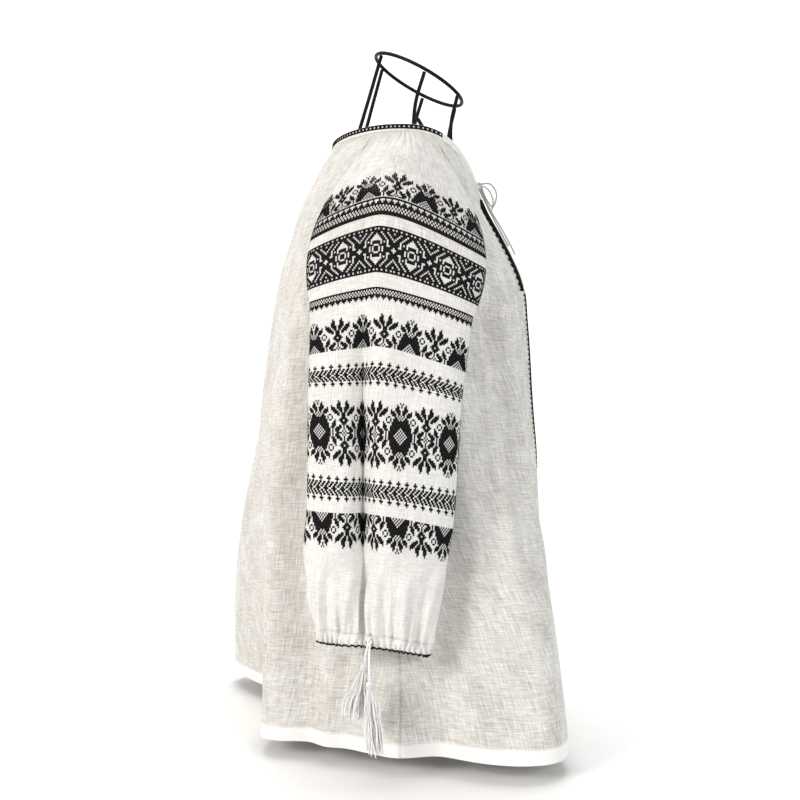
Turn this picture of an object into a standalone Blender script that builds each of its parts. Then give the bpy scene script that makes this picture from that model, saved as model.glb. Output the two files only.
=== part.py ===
"""Romanian ie blouse hanging on a countertop wire dress form.

Metres, +Z up, the origin at the middle of the base's underside. The blouse's front faces -Y and
the wearer's right side is -X. Angles round the body start at the front centre (0 degrees), pass the
wearer's right side (90), the back (180) and the left side (270).
"""
import math

import bmesh
import bpy
import numpy as np
from mathutils import Vector

# Cloth
WALL = 0.0014               # thickness of every cloth wall
SEAM_GAP = 0.0005           # gap between two cloth pieces at a seam
LAP = 0.0026                # how far the sleeve's seam edge lies outside the body panel's edge
HEM_Z = 0.018               # height of the hem above the floor

# Neckline: an oval that dips at the front
NECK_HALF_WIDTH = 0.088
NECK_FRONT = 0.087
NECK_BACK = 0.077
NECK_FRONT_Z = 0.612
NECK_SIDE_Z = 0.659
NECK_BACK_Z = 0.654
NECK_DIP_POWER = 3.0        # how suddenly the neckline dips towards the front
NECK_BAND_RISE = 0.0014     # from the panels' top edges to the band
NECK_BAND_HEIGHT = 0.006
NECK_BAND_WALL = 0.0018
NECK_BAND_OPENING = 1.2     # degrees left open each side of the front centre

# Slit at the front centre
SLIT_END_Z = 0.490
SLIT_HALF_WIDTH = 0.0022

# Body rings: height, half width, front depth, back depth, share of the folds' full size
BODY_ROWS = (
    (0.018, 0.2180, 0.1650, 0.1500, 1.00),
    (0.130, 0.1960, 0.1610, 0.1580, 0.80),
    (0.250, 0.1840, 0.1570, 0.1630, 0.55),
    (0.360, 0.1750, 0.1512, 0.1590, 0.30),
    (0.455, 0.1670, 0.1462, 0.1455, 0.10),
    (0.500, 0.1580, 0.1415, 0.1370, 0.04),
    (0.546, 0.1500, 0.1220, 0.1265, 0.02),
    (0.588, 0.1400, 0.0988, 0.1110, 0.00),
    (0.612, 0.1200, 0.0870, 0.0990, 0.00),
    (0.654, 0.0900, 0.0700, 0.0770, 0.00),
)
HALF_WIDTH, FRONT_DEPTH, BACK_DEPTH, FOLD_SHARE = 1, 2, 3, 4

# Body folds: angle, half width in degrees, height of the ridge at the hem (a valley is negative)
BODY_FOLDS = (
    (51.0, 13.0, 0.084),    # front right corner
    (76.0, 6.0, -0.006),    # valley before the sleeve
    (92.0, 7.0, 0.004),     # ridge below the sleeve
    (107.0, 7.0, -0.012),   # valley behind the tassels
    (126.0, 6.0, -0.004),
    (144.0, 8.0, 0.031),    # back right corner
    (172.0, 12.0, -0.014),  # valley in the middle of the back
    (210.0, 9.0, 0.108),    # back left corner
    (240.0, 10.0, -0.012),
    (262.0, 8.0, 0.010),
    (285.0, 9.0, -0.010),
    (310.0, 13.0, 0.060),   # front left corner
    (338.0, 7.0, -0.010),
    (0.0, 7.0, 0.004),      # front centre
    (25.0, 7.0, -0.012),
)
PANEL_GATHERS = 9           # gathers of the front and of the back at the neckline
PANEL_GATHER_SIZE = 0.0016
PANEL_CENTRE_DROP = 0.012   # the armpit row lies this much lower at the panel's middle
ARMPIT_Z = 0.455

# Sleeve head guides: share of the cloth width, neckline angle, heading, drop and length of its
# start, then how far forward and up its end is led
SLEEVE_GUIDES = (
    (0.00, 60.0, 50.0, 1.00, 0.070, 0.010, 0.085),   # front seam
    (0.22, 70.0, 46.0, 1.15, 0.085, 0.036, 0.070),   # front edge
    (0.50, 87.0, 90.0, 0.42, 0.085, 0.000, 0.100),   # crown
    (0.78, 105.0, 132.0, 0.85, 0.085, -0.018, 0.075),  # back edge
    (1.00, 114.0, 132.0, 0.90, 0.070, -0.008, 0.085),  # back seam
)

# Sleeve rows below the armpit: distance from the neckline along the cloth, back edge y, front edge
# y, outer x, inner x (of the right sleeve, as sizes), height at the back, ridge and front, fold depth
SLEEVE_ROWS = (
    (0.2400, 0.0893, -0.0720, 0.2190, 0.1696, 0.463, 0.476, 0.449, 0.003),
    (0.2975, 0.0890, -0.0640, 0.2270, 0.1800, 0.410, 0.418, 0.393, 0.009),
    (0.3500, 0.0890, -0.0600, 0.2320, 0.1870, 0.366, 0.366, 0.351, 0.015),
    (0.4155, 0.0895, -0.0550, 0.2370, 0.1920, 0.305, 0.300, 0.289, 0.018),
    (0.4600, 0.0900, -0.0510, 0.2400, 0.1960, 0.259, 0.256, 0.241, 0.019),
    (0.4950, 0.0920, -0.0450, 0.2420, 0.2000, 0.226, 0.222, 0.209, 0.019),
    (0.5400, 0.0900, -0.0370, 0.2430, 0.2060, 0.183, 0.177, 0.164, 0.014),
    (0.5750, 0.0810, -0.0290, 0.2420, 0.2110, 0.146, 0.141, 0.130, 0.006),
    (0.5880, 0.0790, -0.0270, 0.2420, 0.2110, 0.132, 0.129, 0.118, 0.004),
)
SLEEVE_ARMPIT = 0.2400
SLEEVE_END = 0.5750
CUFF_END = 0.5870
SLEEVE_ROUNDING = 0.86      # exponent of the sleeve's section, 1 for an ellipse, less is boxier
SLEEVE_RIDGE_Y = 0.023      # where a row across the sleeve is highest
SLEEVE_ROW_BEND = 1.3       # exponent with which a row falls away from its ridge
SLEEVE_FOLD_Y = 0.036       # the crease of the outer side
SLEEVE_FOLD_WIDTH = 0.0075
SLEEVE_LIP = 0.004          # the front half stands this much nearer than the back half
SLEEVE_LIP_SHIFT = 0.022    # from the crease forward to the lip
SLEEVE_LIP_WIDTH = 0.016
SLEEVE_OUTER_X = 0.205      # outer side of the row where the crease is found
CUFF_WAVES = 22
CUFF_WAVE_SIZE = 0.0017

# Mesh densities
PANEL_COLUMNS = 38
UPPER_ROWS = 8
LOWER_ROWS = 9
SLEEVE_COLUMNS = 30
HEAD_ROWS = 7
TUBE_ROWS = 8
NECK_BAND_COLUMNS = 50
HOOP_POINTS = 24
BALL_SEGMENTS = 8
BALL_RINGS = 6
STRAND_STATIONS = 4

# Wire form
WIRE_RADIUS = 0.0021
WIRE_GAP = 0.0003           # between two wires that are welded on a real form
SHOULDER_GAP = 0.0020       # from the smooth sleeve head, whose flat facets come nearer
BASE_RADIUS = 0.100
BASE_HEIGHT = 0.006
POLE_RADIUS = 0.007
FORM_RING_CENTRE = (0.0, -0.022, 0.738)
FORM_RING_RADIUS = 0.0565
FORM_RING_TILT = 28.0       # degrees down towards the front
BRACE_TOP_Z = 0.676
BRACE_FOOT_Z = 0.585
BRACE_BOW = (0.010, 0.004)  # how far a brace's middle stands out and up
RIB_FOOT = 0.012            # how far a rib runs on below the hip hoop
FRONT_RIB_ANGLE = 30.0
BACK_RIB_ANGLE = 150.0
SHOULDER_RIB_ANGLE = 84.0   # at the neck ring
SHOULDER_RIB_SHARE = 0.47   # where across the sleeve's width its rib runs
SHOULDER_RIB_STATIONS = (0.22, 0.31, 0.40)  # where down the sleeve's head the rib carries it
# Ways of the ribs below the neck ring: out from the middle, y, z
SHOULDER_RIB = (
    (0.059, -0.018, 0.700),
    (0.072, -0.014, 0.662),
    (0.163, -0.005, 0.574),   # below the sleeve's head
)
FRONT_RIB = (
    (0.036, -0.058, 0.680),
    (0.048, -0.058, 0.640),
    (0.056, -0.066, 0.580),
)
BACK_RIB = (
    (0.034, 0.036, 0.705),
    (0.044, 0.050, 0.655),
    (0.054, 0.068, 0.590),
)
# Form hoops: name, height, half width, half depth
FORM_HOOPS = (
    ("form_hoop_chest", 0.505, 0.126, 0.098),
    ("form_hoop_waist", 0.385, 0.110, 0.088),
    ("form_hoop_hip", 0.235, 0.138, 0.112),
)
# Tied cords
CORD_RADIUS = 0.0011
KNOT_RADIUS = 0.0036
# Bow loop of the neck cord, wearer's right: sideways, forward and down from the knot
BOW_LOOP = (
    (0.0038, 0.0016, 0.0000),
    (0.0170, 0.0130, 0.0030),
    (0.0240, 0.0190, 0.0160),
    (0.0190, 0.0155, 0.0290),
    (0.0090, 0.0095, 0.0200),
    (0.0025, 0.0030, 0.0026),
)
TAIL_START = (0.0015, 0.0004, 0.0041)  # sideways, forward and down from the knot's middle
TAIL_SPREAD = 0.009         # each tail of the neck cord hangs this far from the slit
TAIL_CLEARANCE = 0.0050     # from the front panel's surface to the tail's centre
TAIL_ENDS_Z = (0.534, 0.546)  # right tail, left tail

# Tassels of the right cuff: name, head (out from the cuff, y, z), then the middle and half width in y
# of its strands' tips, their height and how much they differ
CUFF_KNOT_Y = 0.0287
CUFF_KNOT_Z = 0.1375
TASSELS = (
    ("a", -0.0040, 0.0340, 0.1110, 0.0375, 0.0200, 0.0580, 0.009),
    ("b", 0.0070, 0.0286, 0.0966, 0.0235, 0.0080, 0.0310, 0.003),
)
TASSEL_HEAD_RADIUS = 0.0040
TASSEL_STRANDS = 11
STRAND_RADIUS = 0.00055
STRAND_TURN = 2.4           # radians from one strand's root to the next
STRAND_ROOT_REACH = 0.0027  # from the head's middle to the outermost roots
STRAND_ROOT_DROP = 0.0010
STRAND_TIP_REACH = 0.0042   # how far the tips spread sideways
STRAND_SAG = 0.0022

# Colours and finishes: base colour, roughness, metallic
COTTON = ((0.86, 0.84, 0.79), 0.90, 0.0)
CORD_WHITE = ((0.92, 0.91, 0.88), 0.80, 0.0)
BLACK_WIRE = ((0.012, 0.012, 0.013), 0.45, 0.6)


def clear_scene():
    """Remove whatever the open file holds."""
    for old in list(bpy.data.objects):
        bpy.data.objects.remove(old, do_unlink=True)


def make_material(name, finish):
    """Principled material with a plain colour."""
    colour, roughness, metallic = finish
    material = bpy.data.materials.new(name)
    material.use_nodes = True
    shader = material.node_tree.nodes["Principled BSDF"]
    shader.inputs["Base Color"].default_value = (*colour, 1.0)
    shader.inputs["Roughness"].default_value = roughness
    shader.inputs["Metallic"].default_value = metallic
    return material


def smooth_column(rows, column, at):
    """Value of one column of a table at a value of its first column, by cubic Hermite curves."""
    keys = np.array([row[0] for row in rows])
    values = np.array([row[column] for row in rows])
    slopes = np.gradient(values, keys)
    at = np.clip(np.asarray(at, dtype=float), keys[0], keys[-1])
    i = np.clip(np.searchsorted(keys, at) - 1, 0, len(keys) - 2)
    step = keys[i + 1] - keys[i]
    t = (at - keys[i]) / step
    start = (2 * t**3 - 3 * t**2 + 1) * values[i] + (t**3 - 2 * t**2 + t) * step * slopes[i]
    end = (3 * t**2 - 2 * t**3) * values[i + 1] + (t**3 - t**2) * step * slopes[i + 1]
    return start + end


def bell(x):
    """Smooth bump of height 1 and standard width 1."""
    return np.exp(-0.5 * np.square(x))


def bezier(start, leave, arrive, end, t):
    """Point of a cubic Bezier curve, for arrays of control points."""
    s = 1.0 - t
    return s**3 * start + 3 * s**2 * t * leave + 3 * s * t**2 * arrive + t**3 * end


def neck_point(angle):
    """Points of the neckline at angles in radians, as an array of x, y, z."""
    c = np.cos(angle)
    depth = np.where(c > 0, NECK_FRONT, NECK_BACK)
    dip = (NECK_FRONT_Z - NECK_SIDE_Z) * np.clip(c, 0, 1)**NECK_DIP_POWER
    rear = (NECK_BACK_Z - NECK_SIDE_Z) * np.clip(-c, 0, 1)**2
    return np.stack([-NECK_HALF_WIDTH * np.sin(angle), -depth * c, NECK_SIDE_Z + dip + rear], axis=-1)


def sleeve_outline(distance, samples=720):
    """Closed section of the right sleeve's tube, starting at the armpit seam line.

    It runs by the front edge, the outer side and the back edge. The crease dents its outer side.
    """
    back_y, front_y, outer_x, inner_x, back_z, ridge_z, front_z, fold = (
        smooth_column(SLEEVE_ROWS, column, distance) for column in range(1, 9))
    mid_y, half_y = (back_y + front_y) / 2, (back_y - front_y) / 2
    mid_x, half_x = -(outer_x + inner_x) / 2, (outer_x - inner_x) / 2
    seam = math.asin(min(0.6, (max(mid_y, 0.0) / half_y)**(1 / SLEEVE_ROUNDING)))
    phi = np.linspace(0.0, 2 * np.pi, samples + 1) + seam
    c, s = np.cos(phi), np.sin(phi)
    x = mid_x + half_x * np.sign(c) * np.abs(c)**SLEEVE_ROUNDING
    y = mid_y - half_y * np.sign(s) * np.abs(s)**SLEEVE_ROUNDING
    outside = np.clip(-c * 1.6, 0, 1)
    x += outside * fold * bell((y - SLEEVE_FOLD_Y) / SLEEVE_FOLD_WIDTH)
    x -= outside * SLEEVE_LIP * bell((y - SLEEVE_FOLD_Y + SLEEVE_LIP_SHIFT) / SLEEVE_LIP_WIDTH)
    towards_front = np.clip((SLEEVE_RIDGE_Y - y) / (SLEEVE_RIDGE_Y - front_y), 0, 1)
    towards_back = np.clip((y - SLEEVE_RIDGE_Y) / (back_y - SLEEVE_RIDGE_Y), 0, 1)
    z = ridge_z + (front_z - ridge_z) * towards_front**SLEEVE_ROW_BEND
    z += (back_z - ridge_z) * towards_back**SLEEVE_ROW_BEND
    return np.stack([x, y, z], axis=-1)


def resample(points, shares):
    """Points of a polyline at shares of its length."""
    steps = np.linalg.norm(np.diff(points, axis=0), axis=1)
    length = np.concatenate([[0.0], np.cumsum(steps)])
    at = np.asarray(shares) * length[-1]
    return np.stack([np.interp(at, length, points[:, axis]) for axis in range(3)], axis=-1)


def sleeve_tube(distance, shares):
    """Points of the right sleeve below the armpit at one distance from the neckline."""
    return resample(sleeve_outline(distance), shares)


def sleeve_head(t, shares):
    """Points of the right sleeve between the neckline (t 0) and the armpit (t 1).

    Each column is a Bezier curve that leaves the neckline outwards and arrives on the tube.
    """
    angle, heading, drop, leave, forward, lift = (
        smooth_column(SLEEVE_GUIDES, column, shares) for column in range(1, 7))
    start = neck_point(np.radians(angle))
    heading = np.radians(heading)
    out = np.stack([-np.sin(heading), -np.cos(heading), -drop], axis=-1)
    out /= np.linalg.norm(out, axis=-1, keepdims=True)
    end = sleeve_tube(SLEEVE_ARMPIT, shares)
    arrive = end + np.stack([np.zeros_like(lift), -forward, lift], axis=-1)
    return bezier(start, start + out * leave[:, None], arrive, end, t)


def seam_point(t, share):
    """Where the body panel's edge runs under the sleeve's seam, at share 0 (front) or 1 (back)."""
    x, y, z = sleeve_head(t, np.array([share]))[0]
    reach = math.hypot(x, y)
    return x * (1 - LAP / reach), y * (1 - LAP / reach) * (1 - t**6), z


def body_folds(angle, z):
    """How far the folds stand out of the body's oval at an angle and height."""
    total = np.zeros_like(angle)
    for centre, width, size in BODY_FOLDS:
        away = (np.degrees(angle) - centre + 180.0) % 360.0 - 180.0
        total += size * bell(away / width)
    return total * smooth_column(BODY_ROWS, FOLD_SHARE, z)


def body_row(level, share, back):
    """One row of the front or back panel, share -1 (wearer's left edge) to 1 (right edge).

    Level 0 is the neckline, 1 the armpits and 2 the hem.
    """
    t = min(level, 1.0)
    depth_column = BACK_DEPTH if back else FRONT_DEPTH
    seam_x, seam_y, seam_z = seam_point(t, 1.0 if back else 0.0)
    neck_z = NECK_BACK_Z if back else NECK_FRONT_Z
    centre_z = neck_z + (ARMPIT_Z - PANEL_CENTRE_DROP - neck_z) * t
    centre_depth = smooth_column(BODY_ROWS, depth_column, centre_z)
    edge_angle = math.acos(min(1.0, abs(seam_y) / centre_depth))
    half_width = -seam_x / math.sin(edge_angle)
    edge_angle -= (SEAM_GAP if level > 0.999 else 0.0) / half_width
    turn = np.asarray(share) * edge_angle
    neckline = neck_point((math.pi - turn) if back else turn)[..., 2] - neck_z
    rise = np.square(share) * t + neckline / neckline[0] * (1.0 - t)
    z = centre_z + (seam_z - centre_z) * rise
    depth = np.full_like(turn, centre_depth)
    if level > 1.0:
        z = z + (HEM_Z - z) * (level - 1.0)
        half_width = smooth_column(BODY_ROWS, HALF_WIDTH, z)
        depth = smooth_column(BODY_ROWS, depth_column, z)
    x = -half_width * np.sin(turn)
    y = depth * np.cos(turn) * (1.0 if back else -1.0)
    angle = (math.pi - turn) if back else turn
    loose = 1.0 - np.abs(share)**8 if level < 1.0 else np.ones_like(turn)
    gathers = PANEL_GATHER_SIZE * np.cos(np.pi * PANEL_GATHERS * np.asarray(share))
    fade = math.sin(math.pi * min(1.0, 0.12 + level * 0.9))
    stand_out = (body_folds(angle, z) + gathers * max(fade, 0.0)) * loose
    reach = np.hypot(x, y)
    return np.stack([x * (1 + stand_out / reach), y * (1 + stand_out / reach), z], axis=-1)


def mesh_object(name, vertices, faces, material, collection):
    """New mesh object in the part's collection, shaded smooth."""
    mesh = bpy.data.meshes.new(name)
    mesh.from_pydata([tuple(float(v) for v in point) for point in vertices], [], faces)
    mesh.materials.append(material)
    mesh.shade_smooth()
    made = bpy.data.objects.new(name, mesh)
    collection.objects.link(made)
    return made


def give_wall(made, wall):
    """Cloth thickness, half on each side of the modelled surface."""
    solid = made.modifiers.new("Wall", "SOLIDIFY")
    solid.thickness = wall
    solid.offset = 0.0
    solid.use_even_offset = False


def grid_faces(index):
    """Quads between neighbouring rows and columns of a grid of vertex numbers."""
    faces = []
    for upper, lower in zip(index[:-1], index[1:]):
        for k in range(len(upper) - 1):
            faces.append((upper[k], lower[k], lower[k + 1], upper[k + 1]))
    return faces


def make_front(material, collection):
    """Front panel with the neck slit: its middle column is doubled down to the slit's end."""
    shares = np.linspace(-1.0, 1.0, PANEL_COLUMNS + 1)
    middle = PANEL_COLUMNS // 2
    vertices, left_index, right_index = [], [], []
    for level in panel_levels():
        row = body_row(level, shares, False)
        numbers = list(range(len(vertices), len(vertices) + len(row)))
        vertices.extend(row)
        other = numbers[middle]
        if row[middle][2] > SLIT_END_Z:
            width = SLIT_HALF_WIDTH * min(1.0, (row[middle][2] - SLIT_END_Z) / 0.03)
            vertices[numbers[middle]] = row[middle] + np.array([width, 0.0, 0.0])
            other = len(vertices)
            vertices.append(row[middle] - np.array([width, 0.0, 0.0]))
        left_index.append(numbers[:middle + 1])
        right_index.append([other] + numbers[middle + 1:])
    faces = grid_faces(left_index) + grid_faces(right_index)
    made = mesh_object("front", vertices, faces, material, collection)
    give_wall(made, WALL)


def panel_levels():
    """Rows of the body panels: neckline to armpits, then armpits to hem."""
    upper = np.linspace(0.0, 1.0, UPPER_ROWS + 1)
    lower = np.linspace(1.0, 2.0, LOWER_ROWS + 1)[1:]
    return np.concatenate([upper, lower])


def make_back(material, collection):
    """Back panel."""
    shares = np.linspace(-1.0, 1.0, PANEL_COLUMNS + 1)
    vertices, index = [], []
    for level in panel_levels():
        row = body_row(level, shares, True)
        index.append(list(range(len(vertices), len(vertices) + len(row))))
        vertices.extend(row)
    faces = [face[::-1] for face in grid_faces(index)]
    made = mesh_object("back", vertices, faces, material, collection)
    give_wall(made, WALL)


def sleeve_shares():
    """Columns of a sleeve, closer together round the crease of its outer side."""
    fine = np.linspace(0.0, 1.0, 2001)
    outline = resample(sleeve_outline(0.4155), fine)
    outer = outline[:, 0] < -SLEEVE_OUTER_X
    crease = fine[outer][np.argmin(np.abs(outline[outer][:, 1] - SLEEVE_FOLD_Y))]
    weight = 1.0 + 2.6 * bell((fine - crease) / 0.045)
    reached = np.concatenate([[0.0], np.cumsum((weight[1:] + weight[:-1]) / 2)])
    return np.interp(np.linspace(0.0, 1.0, SLEEVE_COLUMNS + 1), reached / reached[-1], fine)


def make_sleeve(name, side, material, collection):
    """Sleeve: open between its seams above the armpit, a closed tube below.

    Side -1 is the wearer's right and 1 the left, as x runs.
    """
    shares = sleeve_shares()
    vertices, index = [], []
    for t in np.linspace(0.0, 1.0, HEAD_ROWS + 1)[:-1]:
        row = sleeve_head(t, shares)
        index.append(list(range(len(vertices), len(vertices) + len(row))))
        vertices.extend(row)
    for distance in np.linspace(SLEEVE_ARMPIT, SLEEVE_END, TUBE_ROWS + 1):
        row = sleeve_tube(distance, shares)[:-1]
        numbers = list(range(len(vertices), len(vertices) + len(row)))
        index.append(numbers + numbers[:1])
        vertices.extend(row)
    vertices = [point * np.array([-side, 1.0, 1.0]) for point in vertices]
    faces = grid_faces(index)
    if side < 0:
        faces = [face[::-1] for face in faces]
    made = mesh_object(name, vertices, faces, material, collection)
    give_wall(made, WALL)


def make_cuff(name, side, material, collection):
    """Gathered end of a sleeve below its drawstring: a ruffle of even waves."""
    shares = np.linspace(0.0, 1.0, CUFF_WAVES * 4 + 1)
    vertices, index = [], []
    for distance, size in ((SLEEVE_END + 0.0006, 0.4), (CUFF_END, 1.0)):
        row = sleeve_tube(distance, shares)
        ahead, behind = np.roll(row[:-1], -1, axis=0), np.roll(row[:-1], 1, axis=0)
        along = (ahead - behind)[:, :2]
        normal = np.stack([along[:, 1], -along[:, 0]], axis=-1)
        normal /= np.linalg.norm(normal, axis=1, keepdims=True)
        wave = CUFF_WAVE_SIZE * size * np.cos(2 * np.pi * CUFF_WAVES * shares[:-1])
        row = row[:-1].copy()
        row[:, :2] += normal * wave[:, None]
        numbers = list(range(len(vertices), len(vertices) + len(row)))
        index.append(numbers + numbers[:1])
        vertices.extend(row)
    vertices = [point * np.array([-side, 1.0, 1.0]) for point in vertices]
    made = mesh_object(name, vertices, grid_faces(index), material, collection)
    give_wall(made, WALL)


def make_neck_band(material, collection):
    """Narrow band standing on the gathered neckline, open at the slit."""
    opening = math.radians(NECK_BAND_OPENING)
    angle = np.linspace(opening, 2 * math.pi - opening, NECK_BAND_COLUMNS + 1)
    low = neck_point(angle) + np.array([0.0, 0.0, NECK_BAND_RISE])
    high = low + np.array([0.0, 0.0, NECK_BAND_HEIGHT])
    numbers = list(range(2 * len(angle)))
    index = [numbers[:len(angle)], numbers[len(angle):]]
    made = mesh_object("neck_band", list(low) + list(high), grid_faces(index), material, collection)
    give_wall(made, NECK_BAND_WALL)


def smooth_path(points, steps):
    """Smooth curve through the given points, with that many steps between each two of them."""
    given = np.array([tuple(point) for point in points], dtype=float)
    chord = np.concatenate([[0.0], np.cumsum(np.linalg.norm(np.diff(given, axis=0), axis=1))])
    rows = [(key, *point) for key, point in zip(chord, given)]
    at = np.interp(np.arange((len(given) - 1) * steps + 1) / steps, np.arange(len(given)), chord)
    return np.stack([smooth_column(rows, axis, at) for axis in (1, 2, 3)], axis=-1)


def make_wire(name, points, radius, material, collection, closed=False, resolution=1):
    """Round wire through points, as a bevelled curve."""
    curve = bpy.data.curves.new(name, "CURVE")
    curve.dimensions = "3D"
    curve.bevel_depth = radius
    curve.bevel_resolution = resolution
    curve.use_fill_caps = not closed
    spline = curve.splines.new("POLY")
    spline.points.add(len(points) - 1)
    for knot, point in zip(spline.points, points):
        knot.co = (*[float(v) for v in point], 1.0)
    spline.use_cyclic_u = closed
    curve.materials.append(material)
    made = bpy.data.objects.new(name, curve)
    collection.objects.link(made)
    return made


def form_ring_point(degrees, radius=FORM_RING_RADIUS):
    """Point of the tilted neck ring at an angle from the front."""
    angle, tilt = math.radians(degrees), math.radians(FORM_RING_TILT)
    x, y = -radius * math.sin(angle), -radius * math.cos(angle)
    cx, cy, cz = FORM_RING_CENTRE
    return cx + x, cy + y * math.cos(tilt), cz + y * math.sin(tilt)


def hoop_point(hoop, degrees, outside=0.0):
    """Point of a form hoop at an angle from the front, or that far outside it."""
    _, height, half_width, half_depth = hoop
    angle = math.radians(degrees)
    return (-(half_width + outside) * math.sin(angle), -(half_depth + outside) * math.cos(angle), height)


def make_form(material, collection):
    """Wire dress form: base, pole, cross-bar, hoops, ribs, braces and the tilted neck ring."""
    bpy.ops.mesh.primitive_cylinder_add(vertices=40, radius=BASE_RADIUS, depth=BASE_HEIGHT,
                                        location=(0, 0, BASE_HEIGHT / 2))
    base = bpy.context.object
    adopt(base, "form_base", material, collection)
    rim = base.modifiers.new("Rim", "BEVEL")
    rim.width = 0.0015
    rim.segments = 1
    rim.limit_method = "ANGLE"
    chest = FORM_HOOPS[0]
    pole_top = chest[1] - WIRE_RADIUS - WIRE_GAP
    bottom = BASE_HEIGHT + WIRE_GAP
    bpy.ops.mesh.primitive_cylinder_add(vertices=20, radius=POLE_RADIUS, depth=pole_top - bottom,
                                        location=(0, 0, (pole_top + bottom) / 2))
    adopt(bpy.context.object, "form_pole", material, collection)
    reach = chest[2] - WIRE_RADIUS - 2 * WIRE_GAP
    bar = [(-reach, 0, chest[1]), (-reach / 3, 0, chest[1]), (reach / 3, 0, chest[1]), (reach, 0, chest[1])]
    make_wire("form_crossbar", bar, WIRE_RADIUS, material, collection)
    for hoop in FORM_HOOPS:
        ring = [hoop_point(hoop, 360.0 * k / HOOP_POINTS) for k in range(HOOP_POINTS)]
        make_wire(hoop[0], ring, WIRE_RADIUS, material, collection, closed=True)
    ring = [form_ring_point(360.0 * k / HOOP_POINTS) for k in range(HOOP_POINTS)]
    make_wire("form_neck_ring", ring, WIRE_RADIUS, material, collection, closed=True)
    for word, side in (("right", 1.0), ("left", -1.0)):
        make_ribs(word, side, material, collection)


def below_sleeve(t, share, side):
    """Point of a wire that carries the sleeve's head from inside."""
    here = sleeve_head(t, np.array([share]))[0]
    fore, aft = sleeve_head(t, np.array([share - 0.02]))[0], sleeve_head(t, np.array([share + 0.02]))[0]
    above, below = (sleeve_head(t + step, np.array([share]))[0] for step in (-0.02, 0.02))
    normal = np.cross(aft - fore, below - above)
    normal /= np.linalg.norm(normal)
    if normal[0] < 0:
        normal = -normal
    x, y, z = here + normal * (WALL / 2 + WIRE_RADIUS + SHOULDER_GAP)
    return x * side, y, z


def make_ribs(word, side, material, collection):
    """Ribs of one side: shoulder, front and back, and the short brace to the front.

    Side 1 is the wearer's right and -1 the left, as angles round the form run.
    """
    outside = 2 * WIRE_RADIUS + WIRE_GAP

    def lower(degrees):
        x, y, z = hoop_point(FORM_HOOPS[-1], side * degrees, outside)
        return [hoop_point(hoop, side * degrees, outside) for hoop in FORM_HOOPS] + [(x, y, z - RIB_FOOT)]

    def under_ring(degrees):
        x, y, z = form_ring_point(side * degrees)
        slope = math.tan(math.radians(FORM_RING_TILT)) * abs(math.sin(math.radians(degrees)))
        return x, y, z - WIRE_RADIUS * (math.hypot(1.0, slope) + slope) - WIRE_GAP

    def over(path):
        return [(side * -out, y, z) for out, y, z in path]

    shoulder = [under_ring(SHOULDER_RIB_ANGLE)] + over(SHOULDER_RIB[:2])
    shoulder += [below_sleeve(t, SHOULDER_RIB_SHARE, side) for t in SHOULDER_RIB_STATIONS]
    shoulder += over(SHOULDER_RIB[2:]) + lower(90.0)
    shoulder = smooth_path(shoulder, 2)
    make_wire(f"form_shoulder_{word}", shoulder, WIRE_RADIUS, material, collection)
    front = [under_ring(FRONT_RIB_ANGLE)] + over(FRONT_RIB) + lower(FRONT_RIB_ANGLE)
    front = smooth_path(front, 3)
    make_wire(f"form_front_{word}", front, WIRE_RADIUS, material, collection)
    top = shoulder[np.argmin(np.abs(shoulder[:, 2] - BRACE_TOP_Z))] + (0.0, -outside, 0.0)
    end = front[np.argmin(np.abs(front[:, 2] - BRACE_FOOT_Z))] + (side * -outside, 0.0, 0.0)
    middle = (top + end) / 2 + (side * -BRACE_BOW[0], 0.0, BRACE_BOW[1])
    brace = smooth_path([top, middle, end], 4)
    make_wire(f"form_brace_{word}", brace, WIRE_RADIUS, material, collection)
    back = [under_ring(BACK_RIB_ANGLE)] + over(BACK_RIB) + lower(BACK_RIB_ANGLE)
    make_wire(f"form_back_{word}", smooth_path(back, 3), WIRE_RADIUS, material, collection)


def make_knot(name, centre, material, collection):
    """Tied knot, a slightly flat ball."""
    bpy.ops.mesh.primitive_uv_sphere_add(segments=BALL_SEGMENTS, ring_count=BALL_RINGS, radius=KNOT_RADIUS,
                                         location=centre)
    adopt(bpy.context.object, name, material, collection)


def make_neck_cord(material, collection):
    """Knot, two bow loops and two tails of the cord that draws in the neckline."""
    opening = NECK_HALF_WIDTH * math.sin(math.radians(NECK_BAND_OPENING))
    seated = math.sqrt(KNOT_RADIUS**2 - opening**2)
    knot = (0.0, -(NECK_FRONT + NECK_BAND_WALL / 2 + seated + WIRE_GAP),
            NECK_FRONT_Z + NECK_BAND_RISE + NECK_BAND_HEIGHT / 2)
    make_knot("neck_knot", knot, material, collection)
    for word, side, end in (("right", -1.0, TAIL_ENDS_Z[0]), ("left", 1.0, TAIL_ENDS_Z[1])):
        loop = [(knot[0] + side * out, knot[1] - ahead, knot[2] - down) for out, ahead, down in BOW_LOOP]
        make_wire(f"neck_loop_{word}", smooth_path(loop, 3), CORD_RADIUS, material, collection)
        tail = [(side * TAIL_START[0], knot[1] - TAIL_START[1], knot[2] - TAIL_START[2])]
        for z in np.linspace(knot[2] - 0.022, end, 6):
            spread = TAIL_SPREAD * min(1.0, (knot[2] - z) / 0.050)
            tail.append((side * spread, -smooth_column(BODY_ROWS, FRONT_DEPTH, z) - TAIL_CLEARANCE, z))
        make_wire(f"neck_tail_{word}", smooth_path(tail, 2), CORD_RADIUS, material, collection)


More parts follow.
